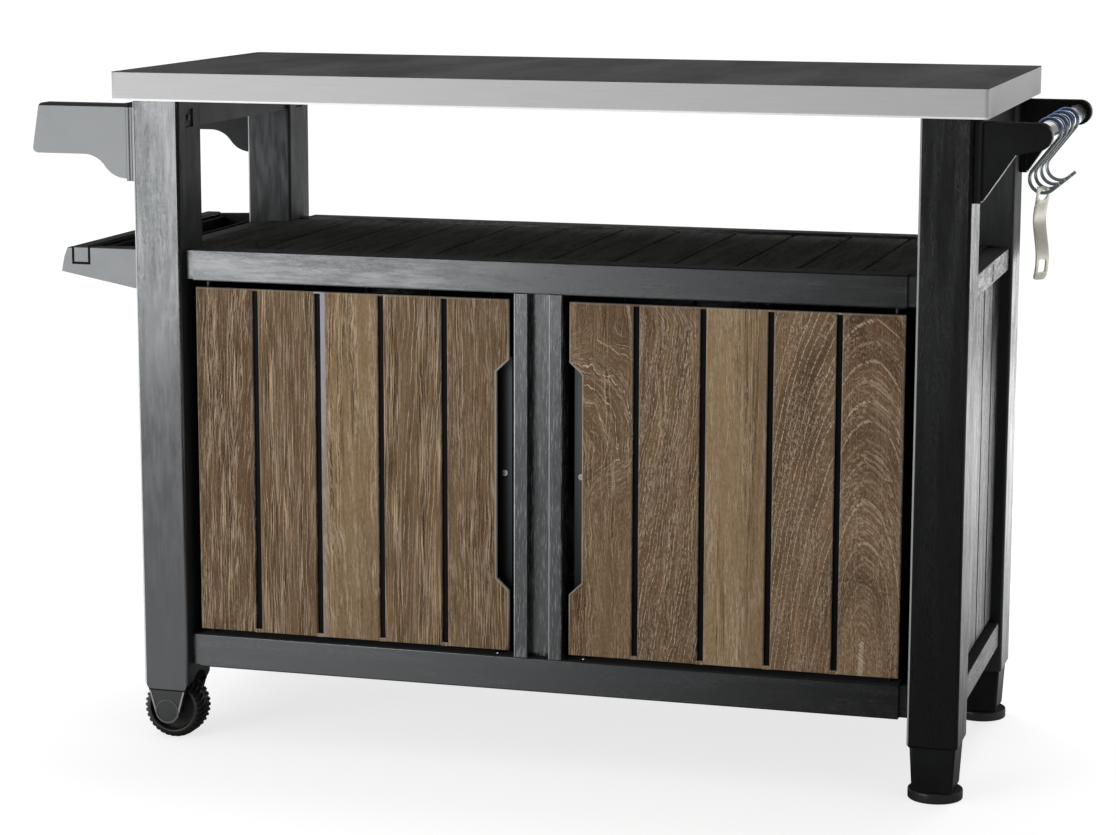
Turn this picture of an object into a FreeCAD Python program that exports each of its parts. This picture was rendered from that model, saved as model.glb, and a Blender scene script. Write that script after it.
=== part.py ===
"""Grill cart with storage.

A steel worktop on four moulded legs, an open shelf over a cabinet with two plank doors,
two wheels under the left legs and two levelling feet under the right legs, arms with a
roll bar and a bottle tray at the left end, and arms with a hook rod at the right end.

Cart coordinates are in millimetres: x runs to the right from the middle of the legs,
y runs to the back from the middle of the worktop, and z runs up from the floor.
Every node is moved by frame_shift when it is written, so that the origin of the part
lies on the floor below the middle of its whole length.
"""
import FreeCAD, Part
import math
import os

from FreeCAD import Vector

os.makedirs("parts", exist_ok=True)

# Worktop
top_height = 900.0
top_length = 1140.0
top_depth = 520.0
rim_height = 37.0
rim_corner = 5.0
sheet_gauge = 1.0
sheet_lip = 14.0
overhang = 20.0
core_skin = 3.0
core_rib = 3.0
core_cell_count_x = 8
core_cell_count_y = 3

# Legs
leg_width = 65.0
leg_depth = 77.0
leg_wall = 4.0
leg_corner = 4.0
leg_sleeve_low = 72.0
leg_sleeve_chamfer = 3.4

# Rails round the shelf and round the base
shelf_top = 668.0
shelf_rail_height = 41.5
base_top = 150.0
base_rail_height = 45.0
rail_inset = 10.0
rail_depth = 30.0
rail_wall = 4.0
rail_solid_end = 62.0
rail_end_gap = 13.0
tongue_recess = 5.0
tongue_drop = 2.0
side_rail_inset = 4.0
side_rail_height = 30.0
side_rail_drop = 6.0
low_side_rail_height = 34.0
low_side_rail_drop = 4.0
beam_height = 38.0
beam_inset = 5.0
beam_depth = 56.0

# Shelf deck and cabinet floor
deck_thickness = 7.0
deck_drop = 4.0
deck_slats = 12
slat_groove = 4.0
slat_groove_depth = 3.0
floor_thickness = 6.0

# Side and back panels
panel_inset = 14.0
panel_thickness = 16.0
panel_groove = 8.0
panel_groove_depth = 4.0
panel_low_gap = 8.0
panel_skin = 5.0
panel_rib = 5.0
panel_row_count = 3
side_planks = 4
back_planks = 10

# Centre post
post_width = 65.0
post_channel_width = 29.0
post_channel_depth = 16.0

# Doors
door_inset = 14.0
door_leg_gap = 14.0
door_post_gap = 7.5
door_low_gap = 6.5
door_high_gap = 8.5
door_skin = 5.0
door_frame_depth = 20.0
door_frame_margin = 2.0
door_front_web = 3.0
door_stile = 38.0
door_rib = 5.0
door_planks = 5
door_groove = 8.0
door_edge_plank_extra = 5.0
groove_low_margin = 4.5
groove_high_margin = 2.5
recess_depth = 17.0
recess_length = 303.0
recess_chamfer = 16.0
recess_lift = 1.25
recess_finger = 17.0
recess_back_wall = 4.0
hinge_setback = 13.0
pin_radius = 3.0
pin_hold = 22.0
pin_reach = 12.0
strike_setback = 18.0
strike_radius = 5.0
strike_gap = 1.6
magnet_radius = 6.0
magnet_height = 3.0
magnet_proud = 0.4

# Wheels
wheel_radius = 42.0
tyre_width = 42.0
tyre_shoulder = 9.0
tyre_band = 11.0
hub_radius = 13.0
web_width = 16.0
lug_count = 18
lug_groove = 5.0
lug_depth = 3.5
axle_radius = 4.0
axle_embed = 5.5
cheek_thickness = 8.0
cheek_recess = 1.0
cheek_top_width = 52.0
cheek_nose_radius = 17.0
cheek_rim = 2.2
cheek_rim_height = 0.9
wheel_arch_gap = 4.0
sleeve_taper_height = 12.0
side_window_radius = 30.0
side_window_centre = 62.0
plug_length = 48.0
axle_ring_radius = 16.0
axle_ring_width = 1.6

# Levelling feet
foot_radius = 35.0
foot_height = 13.0
foot_boss_radius = 20.0
foot_boss_height = 2.0
foot_stem_radius = 5.0
foot_stem_length = 44.0
foot_bottom_width = 52.0
foot_bottom_depth = 64.0

# Roll arms at the left end
left_reach = 147.0
roll_arm_drop = 7.0
roll_arm_height = 97.5
roll_arm_tip_height = 66.5
roll_arm_thickness = 22.0
roll_arm_tip_slope = 11.0
roll_arm_corner = 7.0
roll_arm_curve = 62.0
bracket_depth = 12.0
bracket_border = 3.0
bar_radius = 11.0
bar_setback = 34.0
bar_drop = 34.0
bar_embed = 8.0

# Tray at the left end
tray_reach = 110.0
tray_tip_drop = 3.0
tray_tip_height = 32.0
tray_height = 55.3
tray_side_thickness = 14.0
tray_wall = 4.0
bin_reach = 62.0
bin_depth = 29.0
bin_drop = 5.0
crossbar_size = 23.0
crossbar_reach = 93.0
crossbar_drop = 0.5
crossbar_corner = 3.0
crossbar_gap = 0.5

# Hook arms and rod at the right end
right_reach = 93.5
hook_arm_drop = 5.5
hook_arm_thickness = 22.0
hook_arm_tip_radius = 16.5
hook_arm_fall = 6.0
gusset_reach = 50.0
gusset_height = 95.5
hook_bracket_depth = 10.0
rod_radius = 12.5
rod_embed = 14.0
rod_wall = 1.5

# Hooks and bottle opener
hook_count = 4
hook_first = -120.0
hook_pitch = 60.0
hook_wire_radius = 2.25
hook_drop = 60.0
hook_low_radius = 17.5
hook_end = 11.0
hook_wrap = 170.0
hook_hang = 5.0
opener_width = 19.0
opener_gauge = 2.5
opener_above = 11.0
opener_below = 106.0
opener_hole_radius = 6.5
opener_hole_drop = 2.9
opener_turn = 45.0
opener_bend = 6.0
opener_window_width = 11.0
opener_window_height = 16.0
opener_window_margin = 10.0
opener_window_corner = 2.0
opener_corner = 6.0

# Screws
screw_head_radius = 4.0
screw_head_height = 2.0
screw_shank_radius = 2.0
screw_shank_length = 9.0
screw_slot = 1.2
screw_recess = 2.4
screw_recess_radius = 5.5
handle_screw_length = 4.0
socket_size = 24.0

# Clearances
seat_gap = 0.2
running_gap = 0.08
fixed_gap = 0.03
swing_gap = 0.3

# Values worked out from the sizes above
frame_shift = (left_reach - right_reach) / 2
leg_out_x = top_length / 2 - overhang
leg_out_y = top_depth / 2 - overhang
leg_in_x = leg_out_x - leg_width
leg_in_y = leg_out_y - leg_depth
leg_mid_x = leg_out_x - leg_width / 2
leg_mid_y = leg_out_y - leg_depth / 2
rim_low = top_height - rim_height
roll_arm_top = rim_low - roll_arm_drop
roll_arm_bottom = roll_arm_top - roll_arm_height
roll_arm_under = roll_arm_top - roll_arm_tip_height
bar_height = roll_arm_top - bar_drop
hook_arm_top = rim_low - hook_arm_drop
gusset_low = hook_arm_top - gusset_height
tray_top = shelf_top
tray_tip_top = tray_top - tray_tip_drop
tray_tip_low = tray_tip_top - tray_tip_height
tray_low = tray_top - tray_height
bin_top = tray_top - bin_drop
bin_floor = bin_top - bin_depth
crossbar_top = tray_top - crossbar_drop
rail_out_y = leg_out_y - rail_inset
rail_in_y = rail_out_y - rail_depth
side_rail_out_x = leg_out_x - side_rail_inset
side_rail_in_x = side_rail_out_x - rail_depth
shelf_rail_low = shelf_top - shelf_rail_height
base_rail_low = base_top - base_rail_height
door_out_x = leg_in_x - door_leg_gap
door_in_x = post_width / 2 + door_post_gap
door_width = door_out_x - door_in_x
door_low = base_top + door_low_gap
door_high = shelf_rail_low - door_high_gap
recess_middle = (door_low + door_high) / 2 + recess_lift
door_front_y = -leg_out_y + door_inset
door_frame_front_y = door_front_y + door_skin
door_frame_back_y = door_frame_front_y + door_frame_depth
hinge_x = door_out_x - hinge_setback
hinge_y = (door_frame_front_y + door_frame_back_y) / 2
wheel_z = wheel_radius
roll_arm_lean = math.atan2(roll_arm_tip_slope, roll_arm_top - roll_arm_under)
roll_arm_round_off = roll_arm_corner * (math.tan(roll_arm_lean) + 1 / math.cos(roll_arm_lean) - 1)
rod_x = leg_out_x + right_reach - hook_arm_tip_radius
rod_z = hook_arm_top - hook_arm_tip_radius
hook_high_radius = rod_radius + swing_gap + hook_wire_radius
hook_low_x = rod_x - hook_drop * math.sin(math.radians(hook_hang))
hook_low_z = rod_z - hook_drop * math.cos(math.radians(hook_hang)) - hook_low_radius


def box(x0, x1, y0, y1, z0, z1):
    """Box between two corners, given in any order on each axis."""
    size = (abs(x1 - x0), abs(y1 - y0), abs(z1 - z0))
    return Part.makeBox(*size, Vector(min(x0, x1), min(y0, y1), min(z0, z1)))


def cylinder(x, y, z, radius, length, axis):
    return Part.makeCylinder(radius, length, Vector(x, y, z), axis)


def edges_along(shape, axis):
    """Straight edges of a shape that run along one axis."""
    found = []
    for edge in shape.Edges:
        if len(edge.Vertexes) != 2:
            continue
        run = edge.Vertexes[1].Point - edge.Vertexes[0].Point
        if run.Length > 1e-6 and abs(run.normalize().dot(axis)) > 0.9999:
            found.append(edge)
    return found


def rounded_box(x0, x1, y0, y1, z0, z1, radius, axis=Vector(0, 0, 1)):
    """Box whose four edges along the given axis are rounded."""
    shape = box(x0, x1, y0, y1, z0, z1)
    return shape.makeFillet(radius, edges_along(shape, axis))


def mirror_x(shape):
    return shape.mirror(Vector(0, 0, 0), Vector(1, 0, 0))


def mirror_y(shape):
    return shape.mirror(Vector(0, 0, 0), Vector(0, 1, 0))


def plane_wire(start, steps, lift):
    """Closed wire from a start point. A step is a point for a line, or a pair for an arc."""
    edges = []
    here = start
    for step in list(steps) + [start]:
        if isinstance(step[0], tuple):
            middle, end = step
            edges.append(Part.Arc(lift(here), lift(middle), lift(end)).toShape())
        else:
            end = step
            if (Vector(*here, 0) - Vector(*end, 0)).Length < 1e-7:
                continue
            edges.append(Part.LineSegment(lift(here), lift(end)).toShape())
        here = end
    return Part.Wire(edges)


def prism_y(start, steps, y0, y1):
    """Outline in x and z, carried along y."""
    wire = plane_wire(start, steps, lambda p: Vector(p[0], y0, p[1]))
    return Part.Face(wire).extrude(Vector(0, y1 - y0, 0))


def ogee(start, end):
    """Two equal arcs from start to end, level at both ends."""
    run, fall = end[0] - start[0], end[1] - start[1]
    radius = (run * run + fall * fall) / (4 * abs(fall))
    half = math.asin(abs(run) / 2 / radius) / 2
    step_x = math.copysign(radius * math.sin(half), run)
    step_z = math.copysign(radius * (1 - math.cos(half)), fall)
    middle = (start[0] + run / 2, start[1] + fall / 2)
    first = ((start[0] + step_x, start[1] + step_z), middle)
    second = ((end[0] - step_x, end[1] - step_z), end)
    return [first, second]


def export(node, *solids):
    """Write one node, made of one solid or of a group of separate solids."""
    shape = solids[0] if len(solids) == 1 else Part.makeCompound(list(solids))
    moved = shape.copy()
    moved.translate(Vector(frame_shift, 0, 0))
    moved.exportStep(f"parts/{node}.step")


def one(shape):
    """The single solid in a result of fuse or cut."""
    solids = shape.removeSplitter().Solids
    return max(solids, key=lambda solid: solid.Volume)


def worktop_sheet():
    """Folded steel sheet: flat top, rim all round and a lip turned in below."""
    half_x, half_y = top_length / 2, top_depth / 2
    outer = rounded_box(-half_x, half_x, -half_y, half_y, rim_low, top_height, rim_corner)
    g = sheet_gauge
    inner_corner = rim_corner - g
    room = rounded_box(-half_x + g, half_x - g, -half_y + g, half_y - g, rim_low + g, top_height - g, inner_corner)
    mouth = box(-half_x + sheet_lip, half_x - sheet_lip, -half_y + sheet_lip, half_y - sheet_lip, rim_low, rim_low + g)
    return one(outer.cut(room).cut(mouth))


def worktop_core():
    """Moulded underlay in the sheet: a floor on the sheet's lip, with ribs up to the sheet."""
    gap = sheet_gauge + seat_gap
    half_x, half_y = top_length / 2 - gap, top_depth / 2 - gap
    foot_x, foot_y = top_length / 2 - sheet_lip - seat_gap, top_depth / 2 - sheet_lip - seat_gap
    slab = rounded_box(-half_x, half_x, -half_y, half_y, rim_low + gap, top_height - gap, rim_corner - sheet_gauge)
    foot = box(-foot_x, foot_x, -foot_y, foot_y, rim_low, rim_low + gap)
    low, high = rim_low + gap + core_skin, top_height - gap
    wall = rim_corner + core_rib
    cell_x = (2 * (half_x - wall) - (core_cell_count_x - 1) * core_rib) / core_cell_count_x
    cell_y = (2 * (half_y - wall) - (core_cell_count_y - 1) * core_rib) / core_cell_count_y
    cells = []
    for i in range(core_cell_count_x):
        x0 = -half_x + wall + i * (cell_x + core_rib)
        for j in range(core_cell_count_y):
            y0 = -half_y + wall + j * (cell_y + core_rib)
            cells.append(box(x0, x0 + cell_x, y0, y0 + cell_y, low, high))
    return one(slab.fuse(foot).cut(Part.makeCompound(cells)))


def top_beam(side):
    """Rail under one end of the worktop, between the front and back legs, open upward."""
    out_x, in_x = leg_out_x - beam_inset, leg_out_x - beam_inset - beam_depth
    low = rim_low - beam_height
    bar = box(in_x, out_x, -leg_in_y, leg_in_y, low, rim_low)
    w = rail_wall
    room = box(in_x + w, out_x - w, -leg_in_y + w, leg_in_y - w, low + w, rim_low)
    beam = one(bar.cut(room))
    return beam if side > 0 else mirror_x(beam)


def leg_tube(low):
    """Hollow leg of the front right corner, from a given height up to the worktop."""
    outer = rounded_box(leg_in_x, leg_out_x, -leg_out_y, -leg_in_y, low, rim_low, leg_corner)
    w = leg_wall
    room = box(leg_in_x + w, leg_out_x - w, -leg_out_y + w, -leg_in_y - w, low - 1, rim_low - w)
    leg = outer.cut(room)
    socket_z = rim_low - beam_height / 2 - 6
    socket = box(leg_in_x, leg_in_x + screw_recess, -leg_mid_y - socket_size / 2, -leg_mid_y + socket_size / 2,
                 socket_z - socket_size / 2, socket_z + socket_size / 2)
    hole = cylinder(leg_in_x, -leg_mid_y, socket_z, screw_shank_radius + fixed_gap, leg_wall, Vector(1, 0, 0))
    return one(leg.cut(socket).cut(hole))


def leg_top_screw():
    """Screw in the socket on the inner face of the front right leg."""
    socket_z = rim_low - beam_height / 2 - 6
    return screw().translated(Vector(leg_in_x + screw_recess, -leg_mid_y, socket_z))


def screw(length=screw_shank_length):
    """Slotted screw along x. Its head lies on the plane x = 0 and its shank runs to the right."""
    head = cylinder(-screw_head_height, 0, 0, screw_head_radius, screw_head_height, Vector(1, 0, 0))
    shank = cylinder(0, 0, 0, screw_shank_radius, length, Vector(1, 0, 0))
    half = screw_slot / 2
    slot = box(-screw_head_height, -screw_head_height / 2, -screw_head_radius, screw_head_radius, -half, half)
    return one(head.fuse(shank).cut(slot))


def foot_leg():
    """Front right leg: its sleeve ends in a small chamfer above the foot block."""
    leg = leg_tube(leg_sleeve_low)
    bottom = [e for e in leg.Edges if e.BoundBox.ZMax < leg_sleeve_low + 0.01 and on_outside(e)]
    return leg.makeChamfer(leg_sleeve_chamfer, bottom)


def on_outside(edge):
    """True for an edge on the outer faces of the front right leg."""
    b = edge.BoundBox
    near = 0.01
    out_x = b.XMax > leg_out_x - leg_corner - near or b.XMin < leg_in_x + leg_corner + near
    out_y = b.YMin < -leg_out_y + leg_corner + near or b.YMax > -leg_in_y - leg_corner - near
    straight_x = abs(b.YMin + leg_out_y) < near and abs(b.YMax + leg_out_y) < near
    straight_x = straight_x or abs(b.YMin + leg_in_y) < near and abs(b.YMax + leg_in_y) < near
    straight_y = abs(b.XMin - leg_out_x) < near and abs(b.XMax - leg_out_x) < near
    straight_y = straight_y or abs(b.XMin - leg_in_x) < near and abs(b.XMax - leg_in_x) < near
    corner = out_x and out_y and b.XLength < leg_corner + near and b.YLength < leg_corner + near
    return straight_x or straight_y or corner


def wheel_leg():
    """Front right form of a wheel leg: tapered sleeve end and an arched window on each side."""
    leg = leg_tube(leg_sleeve_low)
    high = leg_sleeve_low + sleeve_taper_height
    half_low, half_high = cheek_top_width / 2, leg_width / 2
    for side in (-1, 1):
        start = (leg_mid_x + side * half_low, leg_sleeve_low)
        steps = [(leg_mid_x + side * (half_high + 1), leg_sleeve_low - 1),
                 (leg_mid_x + side * (half_high + 1), high),
                 (leg_mid_x + side * half_high, high)]
        leg = leg.cut(prism_y(start, steps, -leg_out_y - 1, -leg_in_y + 1))
    window = cylinder(leg_in_x - 1, -leg_mid_y, side_window_centre, side_window_radius, leg_width + 2, Vector(1, 0, 0))
    return one(leg.cut(window))


def tapered_block(width_low, depth_low, width_high, depth_high, low, high, corner):
    """Ruled block between two rounded rectangles, centred on the front right leg."""
    wires = []
    for width, depth, z in ((width_low, depth_low, low), (width_high, depth_high, high)):
        face = rounded_box(leg_mid_x - width / 2, leg_mid_x + width / 2, -leg_mid_y - depth / 2,
                           -leg_mid_y + depth / 2, z, z + 1, corner)
        bottom = min(face.Faces, key=lambda f: f.CenterOfMass.z)
        wires.append(bottom.OuterWire)
    return Part.makeLoft(wires, True, True)


def foot_block():
    """Tapered block plugged into the lower end of the front right leg."""
    low = foot_height + foot_boss_height + seat_gap
    width_high = leg_width - 2 * leg_sleeve_chamfer
    depth_high = leg_depth - 2 * leg_sleeve_chamfer
    block = tapered_block(foot_bottom_width, foot_bottom_depth, width_high, depth_high, low, leg_sleeve_low, leg_corner)
    play = leg_wall + seat_gap
    plug = box(leg_in_x + play, leg_out_x - play, -leg_out_y + play, -leg_in_y - play,
               leg_sleeve_low, leg_sleeve_low + plug_length)
    w = play + leg_wall
    room = box(leg_in_x + w, leg_out_x - w, -leg_out_y + w, -leg_in_y - w,
               leg_sleeve_low + leg_wall, leg_sleeve_low + plug_length)
    bore_length = foot_stem_length + foot_boss_height + 4
    bore = cylinder(leg_mid_x, -leg_mid_y, low - 1, foot_stem_radius + running_gap, bore_length, Vector(0, 0, 1))
    return one(block.fuse(plug).cut(room).cut(bore))


def levelling_foot():
    """Round foot on a stem that screws into the foot block."""
    up = Vector(0, 0, 1)
    disc = cylinder(leg_mid_x, -leg_mid_y, 0, foot_radius, foot_height, up)
    rims = [e for e in disc.Edges if e.Curve.TypeId == "Part::GeomCircle"]
    disc = disc.makeFillet(2.0, rims)
    boss = cylinder(leg_mid_x, -leg_mid_y, foot_height, foot_boss_radius, foot_boss_height, up)
    stem = cylinder(leg_mid_x, -leg_mid_y, foot_height, foot_stem_radius, foot_stem_length, up)
    return one(disc.fuse(boss).fuse(stem))


def cheek_outline(half_top, nose):
    """Tongue shape round the axle: straight top, sides tangent to the round nose."""
    high = leg_sleeve_low
    rise = high - wheel_z
    reach = math.hypot(half_top, rise)
    lean = math.atan2(half_top, rise) + math.acos(nose / reach)
    touch_x, touch_z = nose * math.sin(lean), wheel_z + nose * math.cos(lean)
    start = (leg_mid_x - half_top, high)
    bottom = (leg_mid_x, wheel_z - nose)
    return start, [(leg_mid_x + half_top, high), (leg_mid_x + touch_x, touch_z),
                   (bottom, (leg_mid_x - touch_x, touch_z))]


def wheel_fork():
    """Fork in the lower end of a wheel leg: a plug and two tongues that hold the axle."""
    front = -leg_out_y + cheek_recess
    back = -leg_in_y - cheek_recess
    start, steps = cheek_outline(cheek_top_width / 2, cheek_nose_radius)
    cheeks = [prism_y(start, steps, front, front + cheek_thickness),
              prism_y(start, steps, back - cheek_thickness, back)]
    inner, inner_steps = cheek_outline(cheek_top_width / 2 - cheek_rim, cheek_nose_radius - cheek_rim)
    rims = []
    for y0, y1 in ((front - cheek_rim_height, front), (back, back + cheek_rim_height)):
        rims.append(prism_y(start, steps, y0, y1).cut(prism_y(inner, inner_steps, y0 - 1, y1 + 1)))
    play = leg_wall + seat_gap
    plug = box(leg_in_x + play, leg_out_x - play, -leg_out_y + play, -leg_in_y - play,
               leg_sleeve_low, leg_sleeve_low + plug_length)
    arch = cylinder(leg_mid_x, front + cheek_thickness, wheel_z, wheel_radius + wheel_arch_gap,
                    back - front - 2 * cheek_thickness, Vector(0, 1, 0))
    fork = plug.cut(arch)
    for piece in cheeks + rims:
        fork = fork.fuse(piece)
    along = Vector(0, 1, 0)
    for face, y0 in ((front, front - cheek_rim_height), (back, back - cheek_rim_height)):
        ring = cylinder(leg_mid_x, y0, wheel_z, axle_ring_radius, 2 * cheek_rim_height, along)
        hollow = cylinder(leg_mid_x, y0, wheel_z, axle_ring_radius - axle_ring_width, 2 * cheek_rim_height, along)
        if face == front:
            ring, hollow = (s.common(box(0, 2 * leg_out_x, front - 1, front, 0, top_height)) for s in (ring, hollow))
        else:
            ring, hollow = (s.common(box(0, 2 * leg_out_x, back, back + 1, 0, top_height)) for s in (ring, hollow))
        fork = fork.fuse(ring.cut(hollow).common(prism_y(start, steps, -leg_out_y - 1, -leg_in_y + 1)))
    seat = cylinder(leg_mid_x, front + cheek_thickness - axle_embed, wheel_z, axle_radius + fixed_gap,
                    back - front - 2 * cheek_thickness + 2 * axle_embed, along)
    return one(fork.cut(seat))


def axle():
    """Steel pin between the two tongues of a wheel fork."""
    front = -leg_out_y + cheek_recess + cheek_thickness - axle_embed
    back = -leg_in_y - cheek_recess - cheek_thickness + axle_embed
    return cylinder(leg_mid_x, front, wheel_z, axle_radius, back - front, Vector(0, 1, 0))


def wheel():
    """Moulded wheel turned about its axle, with notched tread on both shoulders."""
    fork_room = leg_depth - 2 * cheek_recess - 2 * cheek_thickness
    hub_half = fork_room / 2 - swing_gap
    half, s = tyre_width / 2, tyre_shoulder
    web = web_width / 2
    inside = wheel_radius - tyre_band
    bore = axle_radius + running_gap
    c = s * (1 - math.sqrt(0.5))
    points = [(bore, -hub_half), (hub_radius, -hub_half), (hub_radius, -web), (inside, -web), (inside, -half),
              (wheel_radius - s, -half)]
    edges = [Part.LineSegment(radial(a), radial(b)).toShape() for a, b in zip(points, points[1:])]
    arc_low = (radial((wheel_radius - s, -half)), radial((wheel_radius - c, -half + c)), radial((wheel_radius, -half + s)))
    arc_high = (radial((wheel_radius, half - s)), radial((wheel_radius - c, half - c)), radial((wheel_radius - s, half)))
    edges.append(Part.Arc(*arc_low).toShape())
    edges.append(Part.LineSegment(arc_low[2], arc_high[0]).toShape())
    edges.append(Part.Arc(*arc_high).toShape())
    mirrored = [(r, -y) for r, y in reversed(points)] + [points[0]]
    edges += [Part.LineSegment(radial(a), radial(b)).toShape() for a, b in zip(mirrored, mirrored[1:])]
    centre = Vector(leg_mid_x, -leg_mid_y, wheel_z)
    body = Part.Face(Part.Wire(edges)).revolve(centre, Vector(0, 1, 0), 360)
    notch = box(-lug_groove / 2, lug_groove / 2, lug_groove / 2, half + 1, wheel_radius - lug_depth, wheel_radius + 1)
    notches = []
    for i in range(lug_count):
        for side, offset in ((0, 0), (180, 0.5)):
            cut = notch.copy()
            cut.rotate(Vector(0, 0, 0), Vector(0, 0, 1), side)
            cut.rotate(Vector(0, 0, 0), Vector(0, 1, 0), (i + offset) * 360 / lug_count)
            cut.translate(centre)
            notches.append(cut)
    return one(body.cut(Part.makeCompound(notches)))


def radial(point):
    """Point of the wheel's profile, from a radius and a distance along the axle."""
    return Vector(leg_mid_x + point[0], -leg_mid_y + point[1], wheel_z)


def rail(length, height):
    """Rail along x between two legs, standing on z = 0, with its outer face on y = 0.

    Its ends step back to a tongue that meets the legs, and it is hollow from below."""
    half = length / 2
    main = box(-half + rail_end_gap, half - rail_end_gap, 0, rail_depth, 0, height)
    main = main.makeFillet(2.0, [e for e in edges_along(main, Vector(1, 0, 0)) if e.BoundBox.YMax < 0.01])
    tongue = box(-half, half, tongue_recess, rail_depth, tongue_drop, height - tongue_drop)
    w = rail_wall
    room = box(-half + rail_solid_end, half - rail_solid_end, w, rail_depth - w, 0, height - w)
    return one(main.fuse(tongue).cut(room))


def post_hole(x, z, reach):
    """Hole for a hinge pin, upward from a height, or downward where the reach is negative."""
    length = abs(reach) + 1
    return cylinder(x, hinge_y, z if reach > 0 else z - length, pin_radius + running_gap, length, Vector(0, 0, 1))


def front_rail(z0, height, pin_face, reach):
    """Front rail with a hole for the hinge pin of each door."""
    shape = rail(2 * leg_in_x, height).translated(Vector(0, -rail_out_y, z0))
    for x in (-hinge_x, hinge_x):
        shape = shape.cut(post_hole(x, pin_face, reach))
    return shape


def base_rail_front():
    """Lower front rail with pockets for the two door magnets."""
    shape = front_rail(base_rail_low, base_rail_height, base_top, -pin_reach)
    for pocket in magnets(fixed_gap):
        shape = shape.cut(pocket)
    return one(shape)


def magnets(gap):
    """Round magnets let into the lower front rail below the free edge of each door."""
    x = door_in_x + strike_setback
    low = base_top - magnet_height + magnet_proud
    return [cylinder(s * x, hinge_y, low, magnet_radius + gap, magnet_height, Vector(0, 0, 1)) for s in (-1, 1)]


def back_rail(z0, height):
    return mirror_y(rail(2 * leg_in_x, height).translated(Vector(0, -rail_out_y, z0)))


def side_rail(side, z0, height):
    """Rail between the front and back legs of one end."""
    shape = rail(2 * leg_in_y, height)
    shape.rotate(Vector(0, 0, 0), Vector(0, 0, 1), 90)
    shape.translate(Vector(side_rail_out_x, 0, z0))
    return shape if side > 0 else mirror_x(shape)


def rail_screws(cutters):
    """Pair of screws in the outer face of the right shelf rail, or the holes for them."""
    made = []
    for part in (0.28, 0.72):
        z = shelf_top - side_rail_drop - side_rail_height * part
        if cutters:
            recess = cylinder(side_rail_out_x - screw_recess, 0, z, screw_recess_radius, screw_recess, Vector(1, 0, 0))
            hole = cylinder(side_rail_out_x - rail_wall, 0, z, screw_shank_radius + fixed_gap, rail_wall, Vector(1, 0, 0))
            made += [recess, hole]
        else:
            one_screw = screw()
            one_screw.rotate(Vector(0, 0, 0), Vector(0, 0, 1), 180)
            made.append(one_screw.translated(Vector(side_rail_out_x - screw_recess, 0, z)))
    return made


def plate_between_rails(low, high):
    """Plate that fills the frame of rails and steps round the legs."""
    long = box(-leg_in_x + swing_gap, leg_in_x - swing_gap, -rail_in_y, rail_in_y, low, high)
    wide = box(-side_rail_in_x, side_rail_in_x, -leg_in_y + swing_gap, leg_in_y - swing_gap, low, high)
    return one(long.fuse(wide))


def shelf_deck():
    """Shelf of slats that run from front to back."""
    high = shelf_top - deck_drop
    plate = plate_between_rails(high - deck_thickness, high)
    pitch = 2 * leg_in_x / deck_slats
    cuts = []
    for i in range(1, deck_slats):
        x = -leg_in_x + i * pitch
        cuts.append(box(x - slat_groove / 2, x + slat_groove / 2, -rail_in_y, rail_in_y, high - slat_groove_depth, high))
    return one(plate.cut(Part.makeCompound(cuts)))


def cabinet_floor():
    return plate_between_rails(base_top - floor_thickness, base_top)


def panel(length, height, planks, low_gap):
    """Planked panel between two legs, standing on z = 0, with its outer face on y = 0.

    Its ends and its lower edge step back to a tongue that meets the legs and the rail.
    Its inner face is ribbed, with a row of pockets behind each plank."""
    half = length / 2
    main = box(-half + rail_end_gap, half - rail_end_gap, 0, panel_thickness, low_gap, height)
    tongue = box(-half, half, tongue_recess, panel_thickness, 0, height)
    pitch = length / planks
    cuts = []
    for i in range(1, planks):
        x = -half + i * pitch
        cuts.append(box(x - panel_groove / 2, x + panel_groove / 2, 0, panel_groove_depth, low_gap, height))
    floor = panel_groove_depth + panel_skin
    row = (height - low_gap - panel_rib) / panel_row_count
    for i in range(planks):
        x0 = -half + i * pitch + (rail_end_gap if i == 0 else 0) + panel_rib / 2
        x1 = -half + (i + 1) * pitch - (rail_end_gap if i == planks - 1 else 0) - panel_rib / 2
        for j in range(panel_row_count):
            z0 = low_gap + panel_rib + j * row
            cuts.append(box(x0, x1, floor, panel_thickness, z0, z0 + row - panel_rib))
    return one(main.fuse(tongue).cut(Part.makeCompound(cuts)))


def side_panel(side):
    """Closed end of the cabinet, between the upper and the lower side rail."""
    low = base_top - low_side_rail_drop
    high = shelf_top - side_rail_drop - side_rail_height
    shape = panel(2 * leg_in_y, high - low, side_planks, panel_low_gap)
    shape.rotate(Vector(0, 0, 0), Vector(0, 0, 1), 90)
    shape.translate(Vector(leg_out_x - panel_inset, 0, low))
    return shape if side > 0 else mirror_x(shape)


def back_panel():
    """Closed back of the cabinet, between the upper and the lower back rail."""
    shape = panel(2 * leg_in_x, shelf_rail_low - base_top, back_planks, 0)
    return mirror_y(shape.translated(Vector(0, -rail_out_y, base_top)))


def centre_post():
    """Post between the doors, with a channel down its front."""
    half, channel = post_width / 2, post_channel_width / 2
    bar = box(-half, half, -rail_out_y, -rail_in_y, base_top, shelf_rail_low)
    bar = bar.makeFillet(2.0, [e for e in edges_along(bar, Vector(0, 0, 1)) if e.BoundBox.YMax < -rail_out_y + 0.01])
    groove = box(-channel, channel, -rail_out_y, -rail_out_y + post_channel_depth, base_top, shelf_rail_low)
    return one(bar.cut(groove))


def plank_edges():
    """Left and right edge of each groove of the right door, from the post outwards."""
    plank = (door_width - door_edge_plank_extra - (door_planks - 1) * door_groove) / door_planks
    found = []
    x = door_in_x + plank + door_edge_plank_extra
    for _ in range(door_planks - 1):
        found.append((x, x + door_groove))
        x += plank + door_groove
    return found


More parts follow.
